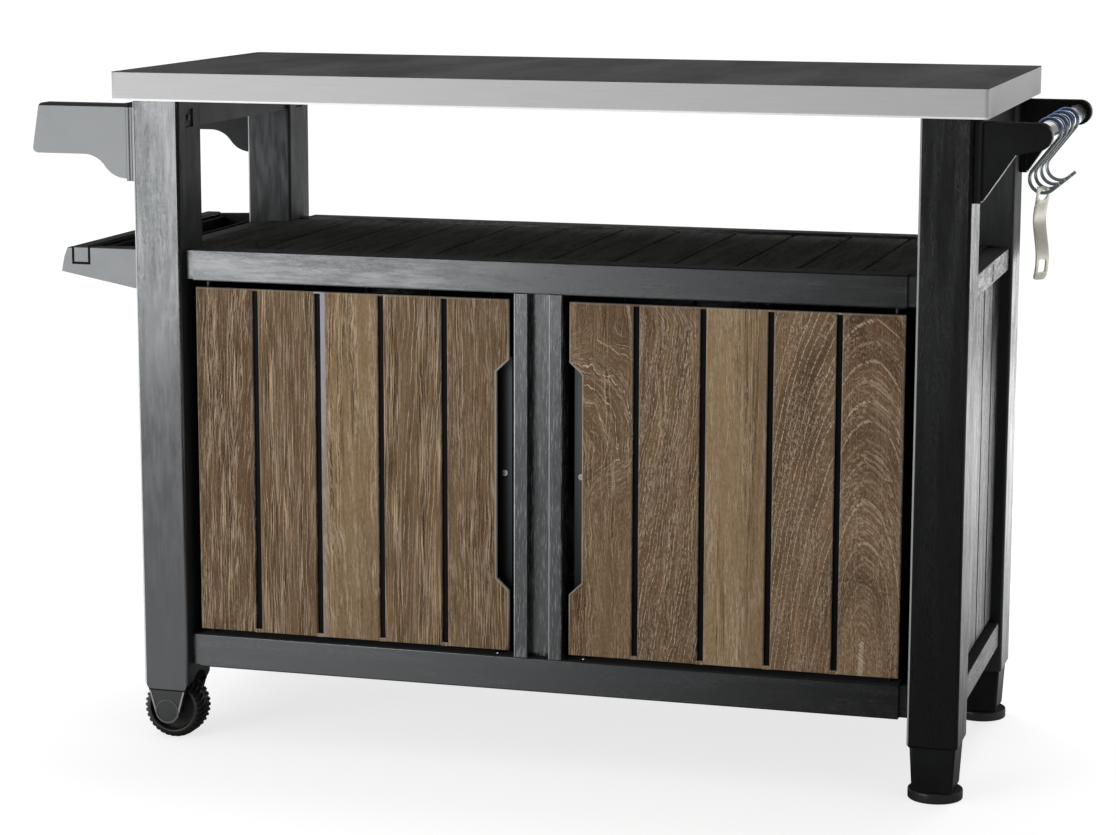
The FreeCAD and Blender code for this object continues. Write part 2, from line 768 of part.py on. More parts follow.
def recess(depth, length, y0, y1):
    """Handle recess in the free edge of the right door, with sloping ends."""
    x0 = door_in_x
    low, high = recess_middle - length / 2, recess_middle + length / 2
    start = (x0 - 1, low)
    steps = [(x0, low), (x0 + depth, low + recess_chamfer), (x0 + depth, high - recess_chamfer), (x0, high), (x0 - 1, high)]
    return prism_y(start, steps, y0, y1)


def door_panel():
    """Plank face of the right door: one moulding with open grooves and the handle recess."""
    y0, y1 = door_front_y, door_frame_front_y
    face = box(door_in_x, door_out_x, y0, y1, door_low, door_high)
    cuts = [box(a, b, y0, y1, door_low + groove_low_margin, door_high - groove_high_margin) for a, b in plank_edges()]
    cuts.append(recess(recess_depth, recess_length, y0 - 1, y1))
    return one(face.cut(Part.makeCompound(cuts)))


def door_frame():
    """Carcass behind the planks of the right door, ribbed from the back."""
    m = door_frame_margin
    y0, y1 = door_frame_front_y, door_frame_back_y
    x0, x1 = door_in_x + m, door_out_x - m
    z0, z1 = door_low + m, door_high - m
    frame = box(x0, x1, y0, y1, z0, z1)
    stile = hinge_setback + pin_radius + door_rib
    starts = [door_in_x + door_stile] + [(a + b) / 2 + door_rib / 2 for a, b in plank_edges()[1:]]
    ends = [(a + b) / 2 - door_rib / 2 for a, b in plank_edges()[1:]] + [door_out_x - stile]
    cuts = [box(a, b, y0 + door_front_web, y1, z0 + pin_hold, z1 - pin_hold) for a, b in zip(starts, ends)]
    finger = recess_depth + recess_finger
    cuts.append(recess(finger, recess_length + 2 * (finger - recess_depth), y0, y1 - recess_back_wall))
    for low in (z0 - 1, z1 - pin_hold):
        cuts.append(cylinder(hinge_x, hinge_y, low, pin_radius + fixed_gap, pin_hold + 1, Vector(0, 0, 1)))
    y_hole = y1 - recess_back_wall
    cuts.append(cylinder(screw_x(), y_hole, recess_middle, screw_shank_radius + fixed_gap, recess_back_wall, Vector(0, 1, 0)))
    cuts.append(door_strike(fixed_gap))
    return one(frame.cut(Part.makeCompound(cuts)))


def screw_x():
    """Place of the handle screw: the middle of the handle recess."""
    return door_in_x + door_frame_margin + (recess_depth - door_frame_margin) / 2 + 2


def door_pins():
    """Steel hinge pins of the right door, one above and one below."""
    m = door_frame_margin
    up = Vector(0, 0, 1)
    high_pin = cylinder(hinge_x, hinge_y, door_high - m - pin_hold, pin_radius, pin_hold + m + door_high_gap + pin_reach, up)
    low_pin = cylinder(hinge_x, hinge_y, base_top - pin_reach, pin_radius, pin_reach + door_low_gap + m + pin_hold, up)
    return [high_pin, low_pin]


def door_strike(gap):
    """Steel stud in the lower edge of the right door, over its magnet."""
    low = base_top + magnet_proud + strike_gap
    high = door_low + door_frame_margin + pin_hold / 2
    return cylinder(door_in_x + strike_setback, hinge_y, low, strike_radius + gap, high - low, Vector(0, 0, 1))


def door_screw():
    """Screw in the back wall of the handle recess."""
    shape = screw(handle_screw_length)
    shape.rotate(Vector(0, 0, 0), Vector(0, 0, 1), 90)
    return shape.translated(Vector(screw_x(), door_frame_back_y - recess_back_wall, recess_middle))


def arm_bracket(depth, low, high, thickness):
    """Mounting strip on the outer face of the front right leg, with a sunk border line."""
    front = -leg_out_y + rail_inset - bracket_border
    back = front + thickness + 2 * bracket_border
    strip = box(leg_out_x, leg_out_x + depth, front, back, low - bracket_border, high + bracket_border - 1)
    groove_low = leg_out_x + depth * 0.35
    groove = box(groove_low, groove_low + depth * 0.3, front - 1, front + 1.5, low - bracket_border - 1, high + bracket_border)
    return one(strip.cut(groove))


def roll_arm():
    """Front arm of the roll bar, drawn at the right end and mirrored to the left."""
    base = leg_out_x + bracket_depth
    tip = leg_out_x + left_reach + roll_arm_round_off
    top_tip = tip - roll_arm_tip_slope
    start = (base, roll_arm_top)
    curve_end = (base + roll_arm_curve, roll_arm_under)
    steps = [(top_tip, roll_arm_top), (tip, roll_arm_under), curve_end]
    steps += ogee(curve_end, (base + 2, roll_arm_bottom)) + [(base, roll_arm_bottom)]
    front = -leg_out_y + rail_inset
    arm = prism_y(start, steps, front, front + roll_arm_thickness)
    corners = [e for e in edges_along(arm, Vector(0, 1, 0)) if e.BoundBox.XMin > top_tip - 1]
    arm = arm.makeFillet(roll_arm_corner, corners)
    socket = cylinder(bar_x(), front + roll_arm_thickness - bar_embed - seat_gap, bar_height, bar_radius + running_gap,
                      bar_embed + seat_gap, Vector(0, 1, 0))
    return one(arm.cut(socket))


def bar_x():
    return leg_out_x + left_reach - bar_setback


def roll_bar():
    """Bar for a paper roll, between the sockets of the two roll arms."""
    end = leg_out_y - rail_inset - roll_arm_thickness + bar_embed
    bar = cylinder(bar_x(), -end, bar_height, bar_radius, 2 * end, Vector(0, 1, 0))
    return bar


def tray_side():
    """Front side plate of the tray, with a notch for the crossbar, drawn at the right end."""
    x0, tip = leg_out_x, leg_out_x + tray_reach
    start = (x0, tray_top)
    steps = [(tip - 9, tray_tip_top), (tip - 4, tray_tip_top - 12), (tip, tray_tip_low), (x0, tray_low)]
    front = -leg_out_y + rail_inset
    side = prism_y(start, steps, front, front + tray_side_thickness)
    g = crossbar_gap
    bar_out = leg_out_x + crossbar_reach
    notch = box(bar_out - crossbar_size - g, bar_out + g, front, front + tray_side_thickness,
                crossbar_top - crossbar_size - seat_gap, top_height)
    return one(side.cut(notch))


def tray_crossbar():
    """Square bar that lies in the notches of both tray sides."""
    bar_out = leg_out_x + crossbar_reach
    end = leg_out_y - rail_inset
    return rounded_box(bar_out - crossbar_size, bar_out, -end, end, crossbar_top - crossbar_size, crossbar_top,
                       crossbar_corner, Vector(0, 1, 0))


def tray_bin():
    """Open bin between the tray sides."""
    x0, x1 = leg_out_x + seat_gap, leg_out_x + bin_reach
    end = leg_out_y - rail_inset - tray_side_thickness
    w = tray_wall
    outer = box(x0, x1, -end, end, bin_floor - w, bin_top)
    return one(outer.cut(box(x0 + w, x1 - w, -end + w, end - w, bin_floor, bin_top)))


def hook_arm():
    """Front arm of the hook rod, with a round tip and a gusset below."""
    base = leg_out_x + hook_bracket_depth
    r = hook_arm_tip_radius
    start = (base, hook_arm_top)
    steps = [(rod_x, hook_arm_top), ((rod_x + r, rod_z), (rod_x, rod_z - r)), (leg_out_x + gusset_reach, rod_z - r - hook_arm_fall),
             (base + 2, gusset_low), (base, gusset_low)]
    front = -leg_out_y + rail_inset
    arm = prism_y(start, steps, front, front + hook_arm_thickness)
    socket = cylinder(rod_x, front + hook_arm_thickness - rod_embed, rod_z, rod_radius + fixed_gap, rod_embed, Vector(0, 1, 0))
    return one(arm.cut(socket))


def hook_rod():
    """Tube between the sockets of the two hook arms."""
    end = leg_out_y - rail_inset - hook_arm_thickness + rod_embed
    along = Vector(0, 1, 0)
    tube = cylinder(rod_x, -end, rod_z, rod_radius, 2 * end, along)
    return tube.cut(cylinder(rod_x, -end, rod_z, rod_radius - rod_wall, 2 * end, along))


def hook(y):
    """S hook of round wire, hung on the rod: two arcs joined by their crossing tangent."""
    r1, r2, drop = hook_high_radius, hook_low_radius, hook_drop
    lean = math.asin((r1 + r2) / drop)

    def at(centre_z, radius, angle):
        return Vector(rod_x + radius * math.cos(angle), y, centre_z + radius * math.sin(angle))

    low_z = rod_z - drop
    open_high, open_low = math.radians(hook_wrap), math.radians(315)
    end_high, start_high = at(rod_z, r1, open_high), at(rod_z, r1, -lean)
    start_low, end_low = at(low_z, r2, math.pi - lean), at(low_z, r2, open_low)
    slope = Vector(math.sqrt(0.5), 0, math.sqrt(0.5))
    tip_low = end_low + slope * hook_end
    edges = [Part.Arc(end_high, at(rod_z, r1, (open_high - lean) / 2), start_high).toShape(),
             Part.LineSegment(start_high, start_low).toShape(),
             Part.Arc(start_low, at(low_z, r2, (math.pi - lean + open_low) / 2), end_low).toShape(),
             Part.LineSegment(end_low, tip_low).toShape()]
    start_way = Vector(math.sin(open_high), 0, -math.cos(open_high))
    circle = Part.Wire(Part.Circle(end_high, start_way, hook_wire_radius).toShape())
    wire = Part.Wire(edges).makePipeShell([circle], True, False).Solids[0]
    wire.rotate(Vector(rod_x, y, rod_z), Vector(0, 1, 0), hook_hang)
    return wire


def bottle_opener():
    """Bent steel strip with a hole at the top and a window near the lower end."""
    high, low = opener_above, -opener_below
    g = opener_gauge
    profile = [(high, 0), (high / 2, 0), (-0.25 * opener_below, opener_bend), (-0.6 * opener_below, 0), (low, opener_bend * 0.7)]
    faces = []
    for shift in (-g / 2, g / 2):
        curve = Part.BSplineCurve()
        curve.interpolate([Vector(-opener_width / 2, bend + shift, z) for z, bend in profile])
        faces.append(curve.toShape())
    ends = [Part.LineSegment(faces[0].valueAt(faces[0].getParameterByLength(0)),
                             faces[1].valueAt(faces[1].getParameterByLength(0))).toShape(),
            Part.LineSegment(faces[0].Vertexes[-1].Point, faces[1].Vertexes[-1].Point).toShape()]
    wire = Part.Wire(Part.__sortEdges__([faces[0], ends[1], faces[1], ends[0]]))
    strip = Part.Face(wire).extrude(Vector(opener_width, 0, 0))
    past = 2 * opener_bend + opener_gauge
    blank = rounded_box(-opener_width / 2, opener_width / 2, -past, past, low, high, opener_corner, Vector(0, 1, 0))
    strip = strip.common(blank)
    hole = cylinder(0, -past, 0, opener_hole_radius, 2 * past, Vector(0, 1, 0))
    window_low = low + opener_window_margin
    window = rounded_box(-opener_window_width / 2, opener_window_width / 2, -past, past, window_low,
                         window_low + opener_window_height, opener_window_corner, Vector(0, 1, 0))
    strip = one(strip.cut(hole).cut(window))
    strip.rotate(Vector(0, 0, 0), Vector(0, 0, 1), opener_turn)
    return strip.translated(Vector(hook_low_x, hook_first, hook_low_z - opener_hole_drop))


# Worktop and top beams
export("worktop_sheet", worktop_sheet())
export("worktop_core", worktop_core())
export("top_beam_left", top_beam(-1))
export("top_beam_right", top_beam(1))

# Legs, wheels and feet
right_leg = foot_leg()
left_leg = mirror_x(wheel_leg())
export("leg_front_right", right_leg)
export("leg_rear_right", mirror_y(right_leg))
export("leg_front_left", left_leg)
export("leg_rear_left", mirror_y(left_leg))
fork = mirror_x(wheel_fork())
export("wheel_fork_front", fork)
export("wheel_fork_rear", mirror_y(fork))
pin = mirror_x(axle())
export("wheel_axles", pin, mirror_y(pin))
tyre = mirror_x(wheel())
export("wheel_front", tyre)
export("wheel_rear", mirror_y(tyre))
block = foot_block()
export("foot_block_front", block)
export("foot_block_rear", mirror_y(block))
foot = levelling_foot()
export("levelling_foot_front", foot)
export("levelling_foot_rear", mirror_y(foot))

# Shelf and base
export("shelf_deck", shelf_deck())
export("shelf_rail_front", front_rail(shelf_rail_low, shelf_rail_height, shelf_rail_low, pin_reach))
export("shelf_rail_rear", back_rail(shelf_rail_low, shelf_rail_height))
high_side = shelf_top - side_rail_drop - side_rail_height
right_shelf_rail = side_rail(1, high_side, side_rail_height).cut(Part.makeCompound(rail_screws(True)))
export("shelf_rail_right", one(right_shelf_rail))
export("shelf_rail_left", mirror_x(one(right_shelf_rail)))
export("base_rail_front", base_rail_front())
export("base_rail_rear", back_rail(base_rail_low, base_rail_height))
low_side = base_top - low_side_rail_drop - low_side_rail_height
export("base_rail_left", side_rail(-1, low_side, low_side_rail_height))
export("base_rail_right", side_rail(1, low_side, low_side_rail_height))
export("cabinet_floor", cabinet_floor())

# Cabinet walls and post
export("side_panel_left", side_panel(-1))
export("side_panel_right", side_panel(1))
export("back_panel", back_panel())
export("centre_post", centre_post())

# Doors
right_face = door_panel()
right_frame = door_frame()
right_pins = door_pins()
export("door_right_panel", right_face)
export("door_left_panel", mirror_x(right_face))
export("door_right_frame", right_frame)
export("door_left_frame", mirror_x(right_frame))
export("door_right_pins", *right_pins)
export("door_left_pins", *[mirror_x(p) for p in right_pins])
export("door_right_strike", door_strike(0))
export("door_left_strike", mirror_x(door_strike(0)))
export("door_right_screw", door_screw())
export("door_left_screw", mirror_x(door_screw()))
export("door_magnets", *magnets(0))

# Left end
roll_bracket = mirror_x(arm_bracket(bracket_depth, roll_arm_bottom, roll_arm_top, roll_arm_thickness))
export("roll_arm_brackets", roll_bracket, mirror_y(roll_bracket))
left_arm = mirror_x(roll_arm())
export("roll_arm_front", left_arm)
export("roll_arm_rear", mirror_y(left_arm))
export("roll_bar", mirror_x(roll_bar()))
left_side = mirror_x(tray_side())
export("tray_side_front", left_side)
export("tray_side_rear", mirror_y(left_side))
export("tray_bin", mirror_x(tray_bin()))
export("tray_crossbar", mirror_x(tray_crossbar()))

# Right end
hook_bracket = arm_bracket(hook_bracket_depth, gusset_low, hook_arm_top, hook_arm_thickness)
export("hook_arm_brackets", hook_bracket, mirror_y(hook_bracket))
right_arm = hook_arm()
export("hook_arm_front", right_arm)
export("hook_arm_rear", mirror_y(right_arm))
export("hook_rod", hook_rod())
for number in range(hook_count):
    export(f"hook_{number + 1}", hook(hook_first + number * hook_pitch))
export("bottle_opener", bottle_opener())

# Screws that fasten the frame
leg_screw = leg_top_screw()
leg_screws = [leg_screw, mirror_y(leg_screw), mirror_x(leg_screw), mirror_x(mirror_y(leg_screw))]
side_screws = rail_screws(False)
export("frame_screws", *leg_screws, *side_screws, *[mirror_x(s) for s in side_screws])
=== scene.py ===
"""Looks of a grill cart with storage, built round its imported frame.

Lengths are metres in the frame's coordinates: x along the cart, y from the doors to the
back, z up from the floor. Colours are written as a display shows them, 0 to 255.
"""
import math

import bpy
import numpy as np
from mathutils import Matrix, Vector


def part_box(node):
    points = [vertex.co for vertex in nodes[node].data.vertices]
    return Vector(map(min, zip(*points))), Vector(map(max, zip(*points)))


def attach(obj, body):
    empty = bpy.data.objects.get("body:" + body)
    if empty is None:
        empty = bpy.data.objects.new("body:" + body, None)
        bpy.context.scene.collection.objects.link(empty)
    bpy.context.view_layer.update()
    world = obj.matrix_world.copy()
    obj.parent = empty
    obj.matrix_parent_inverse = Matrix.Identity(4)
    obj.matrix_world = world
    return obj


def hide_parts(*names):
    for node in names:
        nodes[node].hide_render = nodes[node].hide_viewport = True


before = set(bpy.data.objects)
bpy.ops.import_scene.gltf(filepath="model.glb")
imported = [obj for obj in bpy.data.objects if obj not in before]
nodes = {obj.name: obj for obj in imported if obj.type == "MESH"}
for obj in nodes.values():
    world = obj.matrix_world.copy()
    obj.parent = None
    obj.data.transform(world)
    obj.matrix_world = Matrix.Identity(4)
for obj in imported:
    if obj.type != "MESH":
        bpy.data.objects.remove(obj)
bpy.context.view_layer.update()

MM = 0.001

# Doors: sizes that the frame doesn't hold
PLANKS = 5
PLANK_GAP = 8 * MM
EDGE_PLANK_EXTRA = 5 * MM
PLANK_ROUND = 2.6 * MM
BORDER_LOW = 4.5 * MM
BORDER_HIGH = 2.5 * MM
BORDER_SETBACK = 0.4 * MM
BORDER_ROUND = 0.8 * MM
BORDER_OVERLAP = 1 * MM
# Strengths of the highlights painted on the planks' upper and left-facing edges
PLANK_TOP_HIGHLIGHT = 0.35
PLANK_SIDE_HIGHLIGHT = 0.15
RECESS_DEPTH = 17 * MM
RECESS_LENGTH = 303 * MM
RECESS_CHAMFER = 16 * MM
RECESS_MIDDLE = 388.5 * MM

# Wheels, in millimetres from the middle of the wheel
WHEEL_RADIUS = 42.0
WHEEL_BORE = 4.1
HUB_RADIUS = 13.0
WEB_HALF = 8.0
BAND_RADIUS = 31.0
TYRE_HALF = 21.0
TYRE_SHOULDER = 9.0
LUGS = 33
LUG_DEPTH = 2.4
LUG_SLANT = 0.34
LUG_STEEPNESS = 2.2
LUG_FOOT, LUG_RISE = 36.0, 3.0
LUG_START, LUG_FADE = 3.0, 2.0
MIDDLE_GROOVE = 1.6
WHEEL_STEPS = 264

# Rounds along the edges of the solids
LEG_ROUND = 2.0 * MM
EDGE_ROUND = 0.9 * MM
SMALL_ROUND = 0.2 * MM

# Graphite resin: colours, painted highlights, the roughness that dull parts add, and the tint of
# its gloss
GRAPHITE = (18, 18, 18), (29, 29, 29)
GRAPHITE_PIT = (11, 11, 11)
EDGE_HIGHLIGHT = (204, 207, 208)
LINE_HIGHLIGHT = (138, 142, 140)
RIDGE_HIGHLIGHT = (150, 156, 154)
DULL = 0.42
SHEEN = (0.94, 0.975, 1.0, 1.0)

# Oak print: colours of the ground, of what lies on it, and of the highlights painted on its edges
OAK_LOW = (72, 54, 39)
OAK_HIGH = (117, 95, 71)
OAK_RED = (114, 86, 64)
OAK_STRAW = (107, 85, 56)
OAK_PALE = (143, 120, 90)
OAK_UMBER = (74, 52, 32)
OAK_PORE = (52, 35, 20)
OAK_FIBRE = (182, 160, 130)
OAK_RING = (196, 179, 158)
OAK_HEART = (150, 132, 116)
SIDE_HIGHLIGHT = (150, 152, 162)
UPPER_HIGHLIGHT = (178, 172, 162)
RECESS_HIGHLIGHT = (176, 170, 160)

# Camera: place, then heading, tilt and roll in degrees, then lens and sensor in millimetres
CAMERA_PLACE = (1.09366, -3.87447, 1.12783)
CAMERA_TURN = (-15.928, -9.859, -0.129)
CAMERA_LENS = 97.10
CAMERA_SENSOR = 36.0

# Floor: its size, where its shadow fades out, and how brightly it glows near and far
FLOOR_RADIUS = 60.0
FLOOR_CORNERS = 96
SHADOW_NEAR, SHADOW_FAR = 1.2, 3.2
GLOW_NEAR, GLOW_FALL = 1.47, 0.42
PALE = (0.93, 0.93, 0.935, 1.0)
WHITE = (1.0, 1.0, 1.0, 1.0)


# Node wiring

class Net:
    """Places shader nodes in one tree and wires values or sockets into them."""

    def __init__(self, tree):
        self.tree = tree

    def put(self, kind, inputs=None, **settings):
        node = self.tree.nodes.new(kind)
        for name, value in settings.items():
            setattr(node, name, value)
        for key, value in (inputs or {}).items():
            self.feed(value, node.inputs[key])
        return node

    def feed(self, value, socket):
        if isinstance(value, bpy.types.NodeSocket):
            self.tree.links.new(value, socket)
        else:
            socket.default_value = value

    def math(self, operation, *values):
        inputs = dict(enumerate(values))
        return self.put("ShaderNodeMath", inputs, operation=operation).outputs[0]

    def plus(self, a, b):
        return self.math("ADD", a, b)

    def minus(self, a, b):
        return self.math("SUBTRACT", a, b)

    def times(self, a, b):
        return self.math("MULTIPLY", a, b)

    def larger(self, a, b):
        return self.math("MAXIMUM", a, b)

    def absolute(self, a):
        return self.math("ABSOLUTE", a)

    def length(self, a, b):
        """Square root of the sum of two squares."""
        return self.math("SQRT", self.plus(self.times(a, a), self.times(b, b)))

    def ramp(self, value, low, high, start=0.0, end=1.0):
        """Smooth step of a value from low to high, as start to end."""
        inputs = {0: value, 1: low, 2: high, 3: start, 4: end}
        settings = {"interpolation_type": "SMOOTHSTEP"}
        return self.put("ShaderNodeMapRange", inputs, **settings).outputs[0]

    def noise(self, vector, scale, detail=2.0, roughness=0.5):
        inputs = {"Vector": vector, "Scale": scale, "Detail": detail, "Roughness": roughness}
        return self.put("ShaderNodeTexNoise", inputs).outputs["Fac"]

    def between(self, factor, a, b):
        """Value that goes from a to b with the factor."""
        return self.put("ShaderNodeMix", {0: factor, 2: a, 3: b}, data_type="FLOAT").outputs[0]

    def blend(self, factor, a, b, kind="MIX"):
        """Colour that goes from a to b with the factor."""
        inputs = {0: factor, 6: a, 7: b}
        return self.put("ShaderNodeMix", inputs, data_type="RGBA", blend_type=kind).outputs[2]

    def vector(self, x, y, z):
        return self.put("ShaderNodeCombineXYZ", {0: x, 1: y, 2: z}).outputs[0]

    def split(self, vector):
        return self.put("ShaderNodeSeparateXYZ", {0: vector}).outputs

    def scaled(self, vector, scale):
        inputs = {0: vector, 1: scale}
        return self.put("ShaderNodeVectorMath", inputs, operation="MULTIPLY").outputs[0]

    def bump(self, height, depth):
        inputs = {"Height": height, "Distance": depth, "Strength": 1.0}
        return self.put("ShaderNodeBump", inputs).outputs[0]

    def place(self):
        return self.put("ShaderNodeTexCoord").outputs["Object"]

    def facing(self):
        return self.split(self.put("ShaderNodeTexCoord").outputs["Normal"])

    def attribute(self, name):
        return self.split(self.put("ShaderNodeAttribute", attribute_name=name).outputs["Vector"])

    def use(self, group, inputs):
        node = self.put("ShaderNodeGroup", node_tree=group)
        for key, value in inputs.items():
            self.feed(value, node.inputs[key])
        return node.outputs


def rgb(red, green, blue):
    """Linear colour from the 0 to 255 values of a display."""
    parts = np.array([red, green, blue]) / 255
    line = np.where(parts > 0.04045, ((parts + 0.055) / 1.055) ** 2.4, parts / 12.92)
    return (*line.tolist(), 1.0)


def emptied(block):
    """Net over the emptied node tree of a material or world."""
    block.use_nodes = True
    block.node_tree.nodes.clear()
    return Net(block.node_tree)


def new_group(name, inputs, outputs):
    """Shader group with float or vector inputs and float or colour outputs."""
    tree = bpy.data.node_groups.new(name, "ShaderNodeTree")
    kinds = {"float": "NodeSocketFloat", "vector": "NodeSocketVector", "color": "NodeSocketColor"}
    for label, kind in inputs.items():
        tree.interface.new_socket(label, in_out="INPUT", socket_type=kinds[kind])
    for label, kind in outputs.items():
        tree.interface.new_socket(label, in_out="OUTPUT", socket_type=kinds[kind])
    net = Net(tree)
    return tree, net, net.put("NodeGroupInput").outputs, net.put("NodeGroupOutput").inputs


def moulded_grain_group():
    """Wood grain moulded in resin: the ridges of a fine noise, times a patchy noise.

    The vector is already squeezed along the grain, so both noises run out into lines."""
    tree, net, given, made = new_group(
        "moulded_grain", {"Vector": "vector"}, {"Height": "float", "Tone": "float"})
    fine = net.noise(given["Vector"], 820, 3.0, 0.6)
    line = net.ramp(net.absolute(net.minus(fine, 0.5)), 0.0, 0.10)
    patch = net.ramp(net.noise(given["Vector"], 60, 3.0), 0.36, 0.66, 0.2, 1.0)
    cut = net.times(net.minus(1.0, line), patch)
    net.feed(net.minus(1.0, cut), made["Height"])
    broad = net.noise(given["Vector"], 260, 4.0, 0.65)
    net.feed(net.ramp(broad, 0.3, 0.7), made["Tone"])
    return tree


def mottle_group():
    """Slow and fine cloudy change over a surface, 0 to 1."""
    tree, net, given, made = new_group(
        "mottle", {"Vector": "vector", "Scale": "float"}, {"Value": "float"})
    cloud = net.noise(given["Vector"], given["Scale"], 5.0, 0.6)
    net.feed(net.ramp(cloud, 0.25, 0.75), made["Value"])
    return tree


def oak_group():
    """Print of oak with pale pores.

    A plank is cut from a log whose rings have the radius sqrt((x - centre)^2 + depth^2).
    The centre moves along the plank by a lean, and the depth grows along it by a taper and
    never falls under a least value. Above the height Top and below the height Bottom the
    radius is the place across the plank, so that the lines run straight. Pale lines lie
    where the radius times the ring count is a whole number, and finer pale and dark ones
    lie between them. Pores and flecks are noise that changes fast with the radius and
    slowly along the ring, so they follow it. Fibres are noise drawn out along the plank.
    Line is the strength of the ring lines, and Streak draws the flecks out and brings the
    fibres up."""
    tree, net, given, made = new_group(
        "oak",
        {name: "float" for name in (
            "Across", "Along", "Centre", "Depth", "Taper", "Lean", "Top", "Bottom",
            "Seed", "Light", "Swirl", "Rings", "Line", "Streak")},
        {"Color": "color", "Height": "float"})
    across, along, seed = given["Across"], given["Along"], given["Seed"]
    swirl, streak = given["Swirl"], given["Streak"]

    def spot(fast, slow):
        return net.vector(net.times(across, fast), net.times(along, slow), seed)

    def drift(fast, slow, detail, amount):
        return net.times(net.minus(net.noise(spot(fast, slow), 1.0, detail), 0.5), amount)

    warp = net.plus(drift(10.0, 4.5, 2.0, swirl), drift(55.0, 20.0, 3.0, net.times(swirl, 0.45)))
    tremble = net.plus(0.0007, net.times(swirl, 0.04))
    warp = net.plus(warp, drift(430.0, 150.0, 2.0, tremble))

    middle = net.plus(given["Centre"], net.times(along, given["Lean"]))
    side = net.minus(across, middle)
    depth = net.plus(given["Depth"], net.times(along, given["Taper"]))
    rounded = net.length(side, net.larger(depth, 0.012))
    straight = net.ramp(along, given["Top"], net.plus(given["Top"], 0.03))
    straight = net.larger(straight, net.ramp(net.minus(given["Bottom"], along), 0.0, 0.06))
    radius = net.plus(net.between(straight, rounded, net.plus(across, 0.2)), warp)
    way = net.plus(along, net.times(side, 0.8))

    def ring_noise(fast, slow, detail=2.0, roughness=0.6):
        place = net.vector(net.times(radius, fast), net.times(way, slow), seed)
        return net.noise(place, 1.0, detail, roughness)

    def ring_lines(share, low, high):
        turns = net.times(radius, net.times(given["Rings"], share))
        part = net.absolute(net.minus(net.math("FRACT", turns), 0.5))
        number = net.vector(net.math("FLOOR", net.plus(turns, 0.5)), seed, share)
        chance = net.put("ShaderNodeTexWhiteNoise", {"Vector": number}, noise_dimensions="3D")
        strength = net.ramp(chance.outputs["Value"], 0.1, 0.9, 0.2, 1.0)
        return net.times(net.ramp(part, low, high), strength)

    gather = net.ramp(ring_noise(80.0, 9.0, 3.0, 0.5), 0.40, 0.60, 0.15, 1.0)
    dash = net.minus(400.0, net.times(streak, 372.0))
    fleck = net.ramp(ring_noise(260.0, dash), 0.40, 0.54)
    rings = net.times(net.times(ring_lines(1.0, 0.38, 0.47), fleck), given["Line"])
    rings = net.times(rings, net.minus(1.0, straight))
    fine = net.times(ring_lines(2.7, 0.36, 0.48), net.ramp(ring_noise(330.0, dash), 0.44, 0.60))
    thin = net.times(net.ramp(ring_noise(820.0, net.times(dash, 0.4)), 0.50, 0.64), 0.6)
    thin = net.times(net.larger(fine, thin), gather)
    calm = net.minus(1.0, net.times(given["Line"], 0.4))
    pale = net.larger(rings, net.times(thin, calm))
    seam = net.times(ring_lines(3.9, 0.34, 0.48), net.ramp(ring_noise(300.0, 40.0), 0.46, 0.62))
    drawn = net.vector(net.times(net.plus(across, warp), 880.0), net.times(along, 11.0), seed)
    fibre = net.noise(drawn, 1.0, 2.0, 0.5)
    bands = net.ramp(net.noise(spot(62.0, 2.2), 1.0, 2.0), 0.42, 0.60, 0.1, 1.0)
    grit = net.noise(spot(760.0, 230.0), 1.0, 2.0)
    coarse = net.minus(0.5, net.times(streak, 0.3))
    tone = net.ramp(ring_noise(44.0, 4.0, 4.0, 0.6), 0.3, 0.7)
    red = net.ramp(net.noise(spot(34.0, 4.5), 1.0, 2.0), 0.46, 0.66)

    ground = net.blend(tone, rgb(*OAK_LOW), rgb(*OAK_HIGH))
    drawn_out = net.times(net.plus(0.25, net.times(streak, 0.75)), bands)
    for share, colour in (
            (net.times(red, 0.4), OAK_RED),
            (net.times(streak, 0.35), OAK_STRAW),
            (given["Light"], OAK_PALE),
            (net.times(given["Light"], -1.0), OAK_UMBER),
            (net.times(net.ramp(fibre, 0.50, 0.36), drawn_out), OAK_PORE),
            (net.times(net.ramp(fibre, 0.53, 0.66, 0.0, 0.8), drawn_out), OAK_FIBRE),
            (net.ramp(grit, 0.46, 0.32, 0.0, coarse), OAK_PORE),
            (net.ramp(grit, 0.56, 0.70, 0.0, net.times(coarse, 0.7)), OAK_FIBRE),
            (net.times(seam, 0.55), OAK_PORE),
            (net.times(pale, 0.85), OAK_RING)):
        ground = net.blend(share, ground, rgb(*colour))
    net.feed(ground, made["Color"])
    net.feed(net.minus(net.times(fibre, 0.7), net.times(pale, 0.4)), made["Height"])
    return tree


GRAIN = moulded_grain_group()
MOTTLE = mottle_group()
OAK = oak_group()


# Materials

def new_material(name):
    material = bpy.data.materials.new(name)
    net = emptied(material)
    shader = net.put("ShaderNodeBsdfPrincipled")
    end = net.put("ShaderNodeOutputMaterial")
    net.feed(shader.outputs[0], end.inputs[0])
    return material, net, shader


def finish(net, shader, **inputs):
    for name, value in inputs.items():
        net.feed(value, shader.inputs[name.replace("_", " ")])


def clouds(net, vector, scale):
    return net.use(MOTTLE, {"Vector": vector, "Scale": scale})["Value"]


def squeezed(net, axis, ratio):
    """Object coordinates squeezed along the grain."""
    scale = [1.0, 1.0, 1.0]
    scale["xyz".index(axis)] = ratio
    return net.scaled(net.place(), scale)


def dusted(net, gloss):
    """Roughness raised to one where a surface faces up, as dust leaves it."""
    dust = net.ramp(net.facing()[2], 0.5, 0.85)
    return net.between(dust, gloss, 1.0)


def edge_highlight_mask(net):
    """Mask of upright edges between a front and a left face, where a highlight is painted: the x
    and y parts of the normal there add up to nearly minus the square root of two."""
    normal = net.facing()
    return net.ramp(net.plus(normal[0], normal[1]), -1.20, -1.34)


